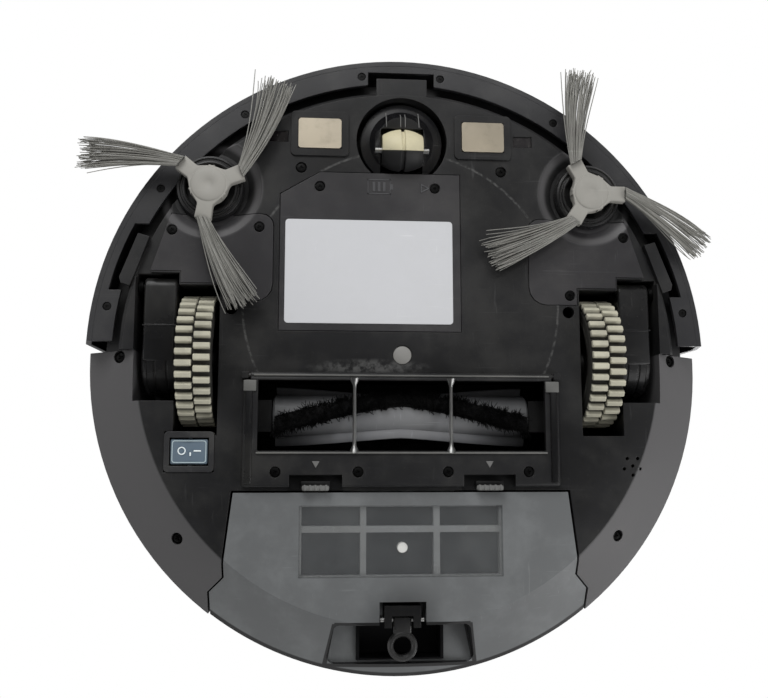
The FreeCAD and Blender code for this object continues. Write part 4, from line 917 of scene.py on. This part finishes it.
def make_brush_hub(side_name):
    """A flat disc with three flared arms and a spindle."""
    node = side_name + "_side_brush_hub"
    low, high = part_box(node)
    centre = joint_place(side_name + "_side_brush_spin")
    foot = low.z
    disc = lathe(side_name + "_hub_disc", [
        (0, foot + 0.0002), (0.0021, foot + 0.0002), (0.0024, foot), (0.0082, foot + 0.0001),
        (0.0091, foot + 0.0006), (0.0096, foot + 0.0018), (0.0100, foot + 0.0058), (0.0042, foot + 0.0062),
        (0.003, foot + 0.0075), (0.003, high.z), (0, high.z)], 64)
    place(disc, shifted(centre.x, centre.y, 0))
    arms = []
    for angle, _ in BRUSH_ARMS[side_name]:
        arm = block("arm", (0.0035, -0.0042, foot + 0.0006), (0.0182, 0.0042, foot + 0.0054))
        bpy.ops.object.mode_set(mode="EDIT")
        bpy.ops.mesh.select_all(action="SELECT")
        bpy.ops.mesh.bisect(plane_co=(ARM_WAIST, 0, 0), plane_no=(1, 0, 0))
        bpy.ops.object.mode_set(mode="OBJECT")
        level = foot + 0.0033
        resized(arm, lambda point: abs(point.x - ARM_WAIST) < NEAR, (1, 0.95, 0.96), (ARM_WAIST, 0, level))
        resized(arm, lambda point: point.x < 0.004, (1, 2.35, 1), (0.0035, 0, level))
        soften(arm, 0.0007, 3)
        arms.append(place(arm, turned(angle), shifted(centre.x, centre.y, 0)))
    hub = carve(disc, arms, "UNION")
    hand_over(hub, "brush_hub", side_name + "_side_brush", "brush_grey", node, angle=40)
    collar = lathe(side_name + "_spindle_collar", [
        (0.0122, 0.0036), (0.0122, 0.0008), (0.0130, 0.0), (0.0138, 0.0002), (0.0142, 0.0012),
        (0.0150, 0.0012), (0.0156, 0.0006), (0.0166, 0.0010), (0.0172, 0.0024), (0.0176, 0.0036)], 64)
    place(collar, shifted(centre.x, centre.y, FLOOR_LEVEL - COLLAR_STANDS_OUT))
    hand_over(collar, "gloss_worn", "chassis", "drive_black")
    return centre


def make_bristles(side_name, centre):
    """Three tufts of long bent filaments, spread at the tips, some of them astray."""
    draw = random.Random(7 if side_name == "left" else 19)
    low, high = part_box(side_name + "_side_bristles")
    level = (low.z + high.z) / 2
    lines = bpy.data.curves.new(side_name + "_filaments", "CURVE")
    lines.dimensions = "3D"
    lines.resolution_u = 4
    lines.bevel_depth = 0.00028
    lines.bevel_resolution = 0
    for angle, sweep in BRUSH_ARMS[side_name]:
        start = math.radians(angle)
        bend = math.radians(angle + sweep)
        out = Vector((math.cos(start), math.sin(start), 0))
        root = out * TUFT_ROOT
        tip = Vector((math.cos(bend), math.sin(bend), 0)) * TUFT_REACH
        along = (tip - root).normalized()
        across = Vector((-along.y, along.x, 0))
        root_across = Vector((-out.y, out.x, 0))
        for index in range(BRISTLES_PER_TUFT):
            spread = draw.uniform(-1, 1)
            lift = draw.uniform(-1, 1)
            stray = 1.0 if index % 15 else 1.7
            length = draw.uniform(0.90, 1.03)
            begin = root + root_across * spread * 0.0031 + Vector((0, 0, lift * 0.0011))
            end = root + (tip - root) * length + across * (spread * 0.0076 * stray + draw.gauss(0, 0.0010))
            end.z = lift * 0.0019 + draw.gauss(0, 0.0004)
            clump = math.sin(spread * 9.0) * 0.0011
            first = begin.lerp(end, 0.33) + out * 0.0034 + across * draw.gauss(0, 0.0005)
            second = begin.lerp(end, 0.68) + out * 0.0024 + across * (draw.gauss(0, 0.0009) + clump)
            spline = lines.splines.new("NURBS")
            spline.points.add(3)
            for point, spot in zip(spline.points, (begin, first, second, end)):
                point.co = (centre.x + spot.x, centre.y + spot.y, level + spot.z, 1.0)
                point.radius = draw.uniform(0.85, 1.15)
            spline.points[3].radius = 0.7
            spline.order_u = 4
            spline.use_endpoint_u = True
    holder = bpy.data.objects.new(side_name + "_filaments", lines)
    bpy.context.collection.objects.link(holder)
    select_only(holder)
    bpy.ops.object.convert(target="MESH")
    tufts = bpy.context.active_object
    tufts.name = side_name + "_bristle_tufts"
    hand_over(tufts, "bristle", side_name + "_side_brush", "bristle_grey", side_name + "_side_bristles",
              angle=60)


# ---------------------------------------------------------------- main brush

ROW_LEAD = math.radians(72)
BRISTLE_ROWS = (132, 312)
BLADE_ROWS = (39, 219)
BLADE_LEAD = math.radians(38)
BLADE_HEIGHT = 0.0041
BAND = 0.40
CLUMPS_PER_ROW = 680


def row_angle(x, half, start, lead=ROW_LEAD):
    """The angle of a V-shaped row about the roller: it runs back from the middle to both ends."""
    return start + lead * (abs(x) / half) ** 1.25


def roller_sizes():
    """The roller's middle, half the length of its rows, the radius of its tube and half its whole length."""
    row_low, row_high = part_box("roller_bristles")
    low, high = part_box("roller_core")
    centre = Vector(((row_low.x + row_high.x) / 2, (low.y + high.y) / 2, (low.z + high.z) / 2))
    return centre, (row_high.x - row_low.x) / 2, (high.z - low.z) / 2, (high.x - low.x) / 2


def make_roller_tube():
    centre, half, radius, end = roller_sizes()
    tube = lathe("roller_tube", [
        (0, -end), (0.0029, -end), (0.003, 0.0004 - end), (0.003, -half - 0.0014),
        (radius - 0.0012, -half - 0.001), (radius - 0.0002, -half), (radius - 0.0002, half),
        (radius - 0.0012, half + 0.001), (0.003, half + 0.0014), (0.003, end - 0.0004), (0.0029, end),
        (0, end)], 64)
    place(tube, TO_X, shifted(*centre))
    hand_over(tube, "roller", "main_brush", "roller_grey", "roller_core")


def wrapped_sheet(name, rows, turn_of, radius_of):
    """A sheet bent about the roller; turn and radius follow from x and from the share across, -1 to 1."""
    centre, half, radius, _ = roller_sizes()
    bpy.ops.object.select_all(action="DESELECT")
    bpy.ops.mesh.primitive_grid_add(x_subdivisions=44, y_subdivisions=rows, size=2.0)
    sheet = settle(name)
    for vert in sheet.data.vertices:
        x, across = vert.co.x * half, vert.co.y
        turn, away = turn_of(x, half, across), radius_of(radius, across)
        vert.co = (centre.x + x, centre.y - away * math.sin(turn), centre.z + away * math.cos(turn))
    return sheet


def make_hair_clump(draw):
    """Nine tapered hairs that lean a little."""
    hair = tapered_block("hair", (-0.00018, -0.00018, 0), (0.00018, 0.00018, 0.0047), (0.5, 0.5), 1)
    strands = []
    for _ in range(9):
        lean = Matrix.Rotation(draw.gauss(0, 0.22), 4, "X") @ Matrix.Rotation(draw.gauss(0, 0.25), 4, "Y")
        aside = shifted(draw.uniform(-0.0007, 0.0007), draw.uniform(-0.0009, 0.0009), 0)
        strands.append(twin(hair, "strand", lean, aside))
    bpy.data.objects.remove(hair)
    return joined("clump", strands)


def make_hair_rows():
    """Two dense V-shaped rows of hair, each on a dark bed."""
    centre, half, radius, _ = roller_sizes()
    draw = random.Random(31)
    clump = make_hair_clump(draw)
    hairs = []
    for start in BRISTLE_ROWS:
        for _ in range(CLUMPS_PER_ROW):
            x = draw.uniform(-half, half)
            turn = row_angle(x, half, math.radians(start)) + draw.uniform(-BAND, BAND)
            facing = Matrix.Rotation(draw.uniform(0, 6.28), 4, "Z")
            scale = Matrix.Scale(draw.uniform(0.8, 1.0), 4)
            hairs.append(twin(clump, "clump_copy", facing, scale, shifted(0, 0, radius - 0.0006),
                              Matrix.Rotation(turn, 4, "X"), shifted(centre.x + x, centre.y, centre.z)))
    bpy.data.objects.remove(clump)
    for start in BRISTLE_ROWS:
        hairs.append(wrapped_sheet(
            "hair_bed", 6, lambda x, half, across: row_angle(x, half, math.radians(start)) + across * BAND,
            lambda radius, across: radius + 0.0024 * (1 - across ** 4)))
    rows = joined("roller_hair_rows", hairs)
    hand_over(rows, "roller_bristle", "main_brush", "roller_black", "roller_bristles")


def make_wipers():
    """Two soft blades that stand on the tube and lean back."""
    blades = []
    for start in BLADE_ROWS:
        blades.append(wrapped_sheet(
            "blade_sheet", 5,
            lambda x, half, across: row_angle(x, half, math.radians(start), BLADE_LEAD)
            + 0.04 * (across + 1) ** 2,
            lambda radius, across: radius - 0.0004 + (across + 1) / 2 * BLADE_HEIGHT))
    wipers = joined("roller_wipers", blades)
    apply_modifier(wipers, "SOLIDIFY", thickness=0.0015, offset=0.0)
    soften(wipers, 0.0003, 1, 60)
    hand_over(wipers, "blade", "main_brush", "blade_rubber", "roller_blades")


# ---------------------------------------------------------------- guard over the main brush


def flat_triangle(name, x, y, size, z, thickness=0.0002):
    """A small raised triangle that points back, flat under the surface at z."""
    bpy.ops.object.select_all(action="DESELECT")
    bpy.ops.mesh.primitive_cylinder_add(vertices=3, radius=size, depth=thickness,
                                        location=(x, y, z - thickness / 2))
    return settle(name)


def softened_blocks(name, corners, width, segments):
    """Blocks with soft edges, given by their corners, joined into one piece."""
    return joined(name, [soften(block(name, low, high), width, segments, 50) for low, high in corners])


def make_guard():
    """The guard: a moulded frame with thick ends, cut-outs for the latches, raised pale strips painted as
    highlights along the window and the hinge, and pale pads at its front corners.
    """
    low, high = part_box("guard_frame")
    window_front, window_back = (corner.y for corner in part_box("guard_wires"))
    end = high.x - 0.001
    foot, top = low.z, high.z
    thick = top - foot
    hinge_y = low.y + thick / 2
    moulding = block("guard_moulding", (-end, hinge_y, foot), (end, high.y, top))
    soften(moulding, 0.0028, 4, 80)
    tools = [block("window", (-0.072, window_front, foot - 0.01), (0.072, window_back, top + 0.01))]
    for side_name, side in SIDES:
        near, far = sorted((side * (end - 0.0038), side * (end + 0.002)))
        tools.append(block("ear_gap", (near, hinge_y - 0.004, foot - 0.01),
                           (far, hinge_y + 0.0024, top + 0.01)))
        x = middle(side_name + "_guard_latch").x
        tools.append(block("latch_gap", (x - 0.0130, high.y - 0.0060, foot - 0.01),
                           (x + 0.0130, high.y + 0.01, top + 0.01)))
    for spot, _ in island_centres("guard_screws"):
        hole = lathe("screw_hole", [(0, foot - 0.002), (0.0028, foot - 0.002), (0.0028, foot + 0.0005),
                                    (0.0026, foot + 0.0012), (0, foot + 0.0012)], 24)
        tools.append(place(hole, shifted(spot.x, spot.y, 0)))
    carve(moulding, tools)
    soften(moulding, 0.0006, 2, 50)
    rods = [moulding]
    for name, radius, reach, sides in (("hinge_bar", thick / 2, end - 0.0038, 32),
                                       ("hinge_pins", 0.0011, end, 24)):
        rod = lathe(name, [(0, -reach), (radius, -reach), (radius, reach), (0, reach)], sides)
        rods.append(place(rod, TO_X, shifted(0, hinge_y, (foot + top) / 2)))
    hand_over(joined("guard_moulding", rods), "guard", "brush_guard", "guard_black", "guard_frame")
    spans = [sorted((side * 0.0744, side * (end - 0.0010))) for _, side in SIDES]
    ends = softened_blocks("guard_ends", [
        ((near, hinge_y + 0.0052, foot - 0.0009), (far, high.y - 0.0015, foot + 0.001))
        for near, far in spans], 0.0008, 3)
    hand_over(ends, "gloss_worn", "brush_guard", "guard_black")
    # painted highlights: pale strips along the window's rear edge and along the hinge; the two pads at the
    # front corners are pale too
    highlight_strips = softened_blocks("guard_highlight_strips", [
        ((-0.0725, window_back + 0.0005, foot - 0.0010), (0.0725, window_back + 0.0014, foot + 0.001)),
        ((-0.0742, hinge_y - 0.0004, foot - 0.0006), (0.0742, hinge_y + 0.0004, foot + 0.001)),
        ((-0.0790, hinge_y + 0.0026, foot - 0.0011), (-0.0728, hinge_y + 0.0080, foot + 0.001)),
        ((0.0722, hinge_y + 0.0026, foot - 0.0011), (0.0790, hinge_y + 0.0080, foot + 0.001))], 0.0003, 2)
    hand_over(highlight_strips, "guard_pale_highlight", "brush_guard", "guard_black")
    marks = [flat_triangle("mark", middle(node).x, high.y - 0.0115, 0.0022, foot)
             for node in both("guard_latch")]
    hand_over(joined("guard_marks", marks), "mark_grey", "brush_guard", "guard_black")


def make_guard_wires():
    """Two steel wires across the window, thicker where they enter the guard."""
    wires = []
    for spot, extent in island_centres("guard_wires"):
        radius, half = extent.x / 2 * 1.1, extent.y / 2
        half_profile = [(radius, half - 0.004), (radius * 1.15, half - 0.0024), (radius * 2.2, half - 0.0006),
                        (radius * 2.6, half + 0.0010), (0, half + 0.0012)]
        mirrored = [(at, -along) for at, along in reversed(half_profile)]
        wires.append(place(lathe("wire", mirrored + half_profile, 20), TO_Y, shifted(*spot)))
    hand_over(joined("guard_wire_pair", wires), "steel", "brush_guard", "wire_steel", "guard_wires")


def make_guard_latches():
    """Each latch: a tongue in the guard and a ribbed lip for a fingertip."""
    for side_name, _ in SIDES:
        low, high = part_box(side_name + "_guard_latch")
        tongue = block(side_name + "_latch_tongue", (low.x + 0.0008, low.y, low.z + 0.0014),
                       (high.x - 0.0008, high.y - 0.0012, high.z))
        soften(tongue, 0.0005, 2)
        lip = block("lip", (low.x + 0.0012, high.y - 0.0026, low.z),
                    (high.x - 0.0012, high.y, high.z - 0.0004))
        soften(lip, 0.0009, 3)
        parts = [lip]
        for index in range(5):
            x = low.x + (high.x - low.x) * (index + 1) / 6
            rib = block("rib", (x - 0.0005, high.y - 0.0029, low.z - 0.0002),
                        (x + 0.0005, high.y - 0.0002, low.z + 0.001))
            parts.append(soften(rib, 0.0002, 2))
        body = side_name + "_latch"
        hand_over(tongue, "inner", body, "guard_black", side_name + "_guard_latch")
        hand_over(joined(side_name + "_latch_lip", parts), "mark_grey", body, "guard_black")


# ---------------------------------------------------------------- screws


WIDEST_SCREW = 0.008


def make_screw_head(radius, thickness):
    """A pan-head screw seen from below, with a cross recess."""
    head = lathe("head", [(0, 0), (radius * 0.72, 0), (radius * 0.93, thickness * 0.18),
                          (radius, thickness * 0.5), (radius, thickness), (0, thickness)], 28)
    slots = []
    for turn in (0, 90):
        slot = tapered_block("slot", (-radius * 0.52, -radius * 0.13, -0.0005),
                             (radius * 0.52, radius * 0.13, thickness * 0.62), (0.6, 0.8), 1)
        slots.append(place(slot, turned(turn)))
    carve(head, slots)
    return head


def make_screws(node, name, material, body, slot):
    draw = random.Random(5)
    heads = []
    for spot, extent in island_centres(node):
        if extent.x > WIDEST_SCREW:
            continue
        head = make_screw_head(extent.x / 2, extent.z)
        turn = Matrix.Rotation(draw.uniform(0, 1.5), 4, "Z")
        heads.append(place(head, turn, shifted(spot.x, spot.y, spot.z - extent.z / 2)))
    hand_over(joined(name, heads), material, body, slot, node)


def make_centre_disc():
    """The plain disc that covers the middle of the floor."""
    for spot, extent in island_centres("underside_screws"):
        if extent.x > WIDEST_SCREW:
            radius, foot = extent.x / 2, spot.z - extent.z / 2
            disc = lathe("centre_disc", [(0, foot), (radius - 0.0006, foot), (radius, foot + 0.0004),
                                         (radius, foot + 0.001), (0, foot + 0.001)], 48)
            place(disc, shifted(spot.x, spot.y, 0))
            hand_over(disc, "disc_grey", "chassis", "screw_steel")


# ---------------------------------------------------------------- caster


def make_caster():
    """The dome with ribs on its front, coloured pale as painted highlights, and the barrel-shaped wheel with
    a groove about its middle.
    """
    dome_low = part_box("caster_dome")[0]
    centre = middle("caster_dome")
    ribs = []
    for x in (-0.0082, -0.0008, 0.0016, 0.0088):
        rib = block("rib", (x - 0.00022, -0.0162, -0.00025), (x + 0.00022, -0.0066, 0.0003))
        bpy.ops.object.mode_set(mode="EDIT")
        bpy.ops.mesh.select_all(action="SELECT")
        bpy.ops.mesh.bisect(plane_co=(0, -(0.0120 ** 2 - x * x) ** 0.5, 0), plane_no=(0, 1, 0))
        bpy.ops.object.mode_set(mode="OBJECT")
        nudged(rib, lambda point: point.y < -0.0150, (0, 0, 0.0050))
        place(rib, shifted(centre.x, centre.y, dome_low.z))
        ribs.append(rib)
    # painted highlights: the ribs are pale grey to stand for thin highlights on the black dome
    hand_over(joined("dome_rib_highlights", ribs), "mark_grey", "caster_turntable", "dome_black")
    low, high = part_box("caster_wheel")
    radius, half = (high.z - low.z) / 2, (high.x - low.x) / 2
    half_profile = [(radius - 0.0011, 0.0007), (radius - 0.0002, 0.0010), (radius, 0.0013),
                    (radius * 0.975, 0.0034), (radius * 0.90, half - 0.0040), (radius * 0.76, half - 0.0006),
                    (radius * 0.70, half), (0.0016, half)]
    mirrored = [(at, -along) for at, along in reversed(half_profile)]
    barrel = lathe("caster_barrel", mirrored + half_profile + mirrored[:1], 72)
    place(barrel, TO_X, shifted(*middle("caster_wheel")))
    hand_over(barrel, "caster", "caster_roller", "caster_cream", "caster_wheel")


# ---------------------------------------------------------------- dust tank


RING_FROM_END = 0.0077


def make_notch_shade_box():
    """Painted shade: a deep black box above the middle of the finger notch, with a dark frame at its mouth,
    standing for the shade deep in the notch.
    """
    ring_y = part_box("latch_lever")[1].y - RING_FROM_END
    ceiling = FLOOR_LEVEL + 0.0200
    front, back = ring_y - 0.0092, ring_y + 0.0094
    shade_box = block("notch_shade_box", (-0.0213, front, ceiling), (0.0213, back, ceiling + 0.0114))
    rim = block("shade_box_rim", (-0.0222, front - 0.0002, ceiling - 0.0016), (0.0222, back, ceiling + 0.0004))
    carve(shade_box, [rim], "UNION")
    space = block("shade_box_space", (-0.0206, front + 0.0006, ceiling - 0.0030),
                  (0.0206, back - 0.0008, ceiling + 0.0106))
    carve(shade_box, [space])
    hand_over(shade_box, "notch_shade_black", "dust_tank", "filter_black")


def make_lever():
    """The tank's pull lever: a waisted arm on the pin and a deep ring for a fingertip."""
    low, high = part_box("latch_lever")
    pin = middle("latch_pin")
    foot = low.z
    radius = 0.0074
    centre_y = high.y - RING_FROM_END
    ring = lathe("lever_ring", [
        (0.0044, foot + 0.0008), (0.0052, foot), (0.0064, foot), (radius, foot + 0.0010),
        (radius, foot + 0.0040), (0.0044, foot + 0.0040), (0.0044, foot + 0.0008)], 56)
    place(ring, shifted(0, centre_y, 0))
    arm = block("lever_arm", (-0.0046, pin.y - 0.0016, foot + 0.0003),
                (0.0046, centre_y - 0.0058, foot + 0.0040))
    soften(arm, 0.0009, 3)
    lever = carve(ring, [arm], "UNION")
    hand_over(lever, "gloss_worn", "tank_lever", "filter_black", "latch_lever")


def make_filter_mesh():
    """The woven sheets in the filter frame's six windows."""
    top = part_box("filter_frame")[1].z
    sheets = []
    for left, right in ((-0.0500, -0.0210), (-0.0180, 0.0155), (0.0187, 0.0487)):
        for front, back in ((0.0740, 0.0835), (0.0866, 0.1074)):
            sheets.append(block("sheet", (left + 0.0002, front + 0.0002, top - 0.0030),
                                (right - 0.0002, back - 0.0002, top - 0.0022)))
    hand_over(joined("filter_sheets", sheets), "filter_mesh", "dust_tank", "filter_black")


# ---------------------------------------------------------------- plate, switch and signs


def make_rating_plate():
    low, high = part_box("rating_plate")
    label = rounded_plate("label", low, high, 0.0018)
    hand_over(label, "label", "chassis", "label_white", "rating_plate")


def make_switch():
    low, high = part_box("switch_rocker")
    paddle = block("paddle", (low.x, low.y + 0.0024, low.z), (high.x, high.y - 0.0024, low.z + 0.0024))
    bpy.ops.object.mode_set(mode="EDIT")
    bpy.ops.mesh.select_all(action="SELECT")
    centre = middle("switch_rocker")
    bpy.ops.mesh.bisect(plane_co=centre, plane_no=(1, 0, 0))
    bpy.ops.object.mode_set(mode="OBJECT")
    nudged(paddle, lambda point: point.z < low.z + 0.001 and abs(point.x - centre.x) < 0.001, (0, 0, 0.0005))
    soften(paddle, 0.0009, 4, 40)
    stem = block("stem", (centre.x - 0.002, centre.y - 0.004, low.z + 0.002),
                 (centre.x + 0.002, centre.y + 0.004, high.z))
    pin = lathe("pin", [(0, low.y), (0.001, low.y), (0.001, high.y), (0, high.y)], 20)
    place(pin, TO_Y, shifted(centre.x, 0, low.z + 0.0035))
    rocker = joined("switch_paddle", [paddle, stem, pin])
    hand_over(rocker, "switch", "rocker", "switch_blue", "switch_rocker")
    level = low.z - 0.00005
    signs = []
    bpy.ops.object.select_all(action="DESELECT")
    bpy.ops.mesh.primitive_torus_add(major_radius=0.0017, minor_radius=0.00032, major_segments=28,
                                     minor_segments=6, location=(centre.x - 0.0036, centre.y - 0.0004,
                                                                 level + 0.0002))
    signs.append(settle("sign_off"))
    for x, y, wide, deep in ((centre.x + 0.0040, centre.y - 0.0004, 0.0018, 0.00035),
                             (centre.x + 0.0006, centre.y + 0.0012, 0.00035, 0.0009)):
        bar = block("sign_bar", (x - wide, y - deep, level), (x + wide, y + deep, level + 0.0004))
        signs.append(soften(bar, 0.0001, 1))
    hand_over(joined("switch_signs", signs), "sign_white", "rocker", "switch_blue")
    border = rounded_plate("border", (low.x + 0.0007, low.y + 0.0031, level),
                           (high.x - 0.0007, high.y - 0.0031, level + 0.0004), 0.0014)
    hole = rounded_plate("border_hole", (low.x + 0.0012, low.y + 0.0036, level - 0.001),
                         (high.x - 0.0012, high.y - 0.0036, level + 0.002), 0.0010)
    carve(border, [hole])
    hand_over(border, "switch_border", "rocker", "switch_blue")


def make_cover_signs():
    """A battery sign and a small triangle, raised on the battery cover."""
    low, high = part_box("battery_cover")
    level = low.z
    marks = []

    def bar(x0, y0, x1, y1):
        marks.append(block("mark", (x0, y0, level - 0.00018), (x1, y1, level + 0.0003)))

    x, y = (low.x + high.x) / 2 + 0.0043, low.y + 0.0071
    wide, tall, line = 0.0060, 0.0040, 0.00055
    bar(x - wide, y - tall, x + wide, y - tall + line)
    bar(x - wide, y + tall - line, x + wide, y + tall)
    bar(x - wide, y - tall, x - wide + line, y + tall)
    bar(x + wide - line, y - tall, x + wide, y + tall)
    bar(x + wide, y - 0.0014, x + wide + 0.0013, y + 0.0014)
    for share in (-0.45, 0.0, 0.45):
        bar(x + wide * share - 0.0007, y - tall + 0.0015, x + wide * share + 0.0007, y + tall - 0.0015)
    tip = flat_triangle("tip", 0, 0, 0.0030, level, 0.0003)
    carve(tip, [flat_triangle("inner", 0, 0, 0.0017, level + 0.001, 0.003)])
    place(tip, turned(-90), shifted(x + 0.0232, y + 0.0004, 0))
    hand_over(joined("cover_signs", marks + [tip]), "mark_dark", "chassis", "shell_black")


for name_of_side, sign_of_side in SIDES:
    make_tyre(name_of_side)
    make_wheel_disc(name_of_side, sign_of_side)
    make_drive_case(name_of_side, sign_of_side)
    make_bristles(name_of_side, make_brush_hub(name_of_side))
make_roller_tube()
make_hair_rows()
make_wipers()
make_guard()
make_guard_wires()
make_guard_latches()
make_screws("underside_screws", "underside_screw_heads", "screw", "chassis", "screw_steel")
make_screws("bumper_screws", "bumper_screw_heads", "screw", "bumper", "screw_steel")
make_screws("guard_screws", "guard_screw_heads", "screw", "brush_guard", "screw_steel")
make_centre_disc()
make_caster()
make_lever()
make_notch_shade_box()
make_filter_mesh()
make_rating_plate()
make_switch()
make_cover_signs()

# ---------------------------------------------------------------- floor, world and lamps


def light_path_share(tree, *kinds):
    """1 for rays of the given kinds, 0 for the others."""
    path = tree.nodes.new("ShaderNodeLightPath")
    seen = path.outputs["Is Camera Ray"]
    for kind in kinds:
        seen = larger(tree, seen, path.outputs[kind])
    return seen


def make_floor():
    """A pale floor that is seen from above only, and lets light from below through."""
    bpy.ops.mesh.primitive_plane_add(size=8.0, location=(0, 0, 0))
    floor = bpy.context.active_object
    floor.name = "floor"
    material, tree, shader = new_material("floor_paint", Roughness=0.8)
    shader.inputs["Base Color"].default_value = (0.86, 0.86, 0.86, 1.0)
    shader.inputs["Specular IOR Level"].default_value = 0.2
    clear = tree.nodes.new("ShaderNodeBsdfTransparent")
    choice = tree.nodes.new("ShaderNodeMixShader")
    behind = tree.nodes.new("ShaderNodeNewGeometry").outputs["Backfacing"]
    front = difference(tree, 1.0, behind)
    seen = light_path_share(tree, "Is Glossy Ray", "Is Transmission Ray")
    near = within(tree, distance_from(tree, (0, 0, 0), (1, 1, 0)), 0.45, 0.45)
    shown = product(tree, near, product(tree, front, seen))
    tree.links.new(shown, choice.inputs[0])
    tree.links.new(clear.outputs[0], choice.inputs[1])
    tree.links.new(shader.outputs[0], choice.inputs[2])
    tree.links.new(choice.outputs[0], tree.nodes["Material Output"].inputs["Surface"])
    floor.data.materials.append(material)


def make_world():
    world = bpy.data.worlds.new("studio")
    world.use_nodes = True
    tree = world.node_tree
    soft = tree.nodes["Background"]
    soft.inputs["Color"].default_value = (1, 1, 1, 1)
    soft.inputs["Strength"].default_value = 0.36
    white = tree.nodes.new("ShaderNodeBackground")
    white.inputs["Color"].default_value = (1, 1, 1, 1)
    white.inputs["Strength"].default_value = 1.0
    choice = tree.nodes.new("ShaderNodeMixShader")
    tree.links.new(light_path_share(tree, "Is Transmission Ray"), choice.inputs[0])
    tree.links.new(soft.outputs[0], choice.inputs[1])
    tree.links.new(white.outputs[0], choice.inputs[2])
    tree.links.new(choice.outputs[0], tree.nodes["World Output"].inputs["Surface"])
    bpy.context.scene.world = world


def make_lamp(name, spot, size, power):
    """A square soft lamp aimed at the machine."""
    data = bpy.data.lights.new(name, "AREA")
    data.size = size
    data.energy = power
    lamp = bpy.data.objects.new(name, data)
    bpy.context.collection.objects.link(lamp)
    lamp.location = spot
    lamp.rotation_euler = (-Vector(spot)).to_track_quat("-Z", "Y").to_euler()


make_floor()
make_world()
make_lamp("lamp_below_front", (-0.35, -0.95, -0.75), 0.6, 9.0)
make_lamp("lamp_below_rear", (0.8, 0.6, -0.5), 0.5, 6.0)
make_lamp("lamp_below_right", (0.20, -0.42, -0.72), 0.35, 1.2)
make_lamp("lamp_above_left", (-0.9, -0.8, 1.2), 0.9, 22.0)
make_lamp("lamp_above_right", (1.0, 0.6, 1.0), 0.9, 12.0)
bpy.context.scene.view_settings.view_transform = "Standard"
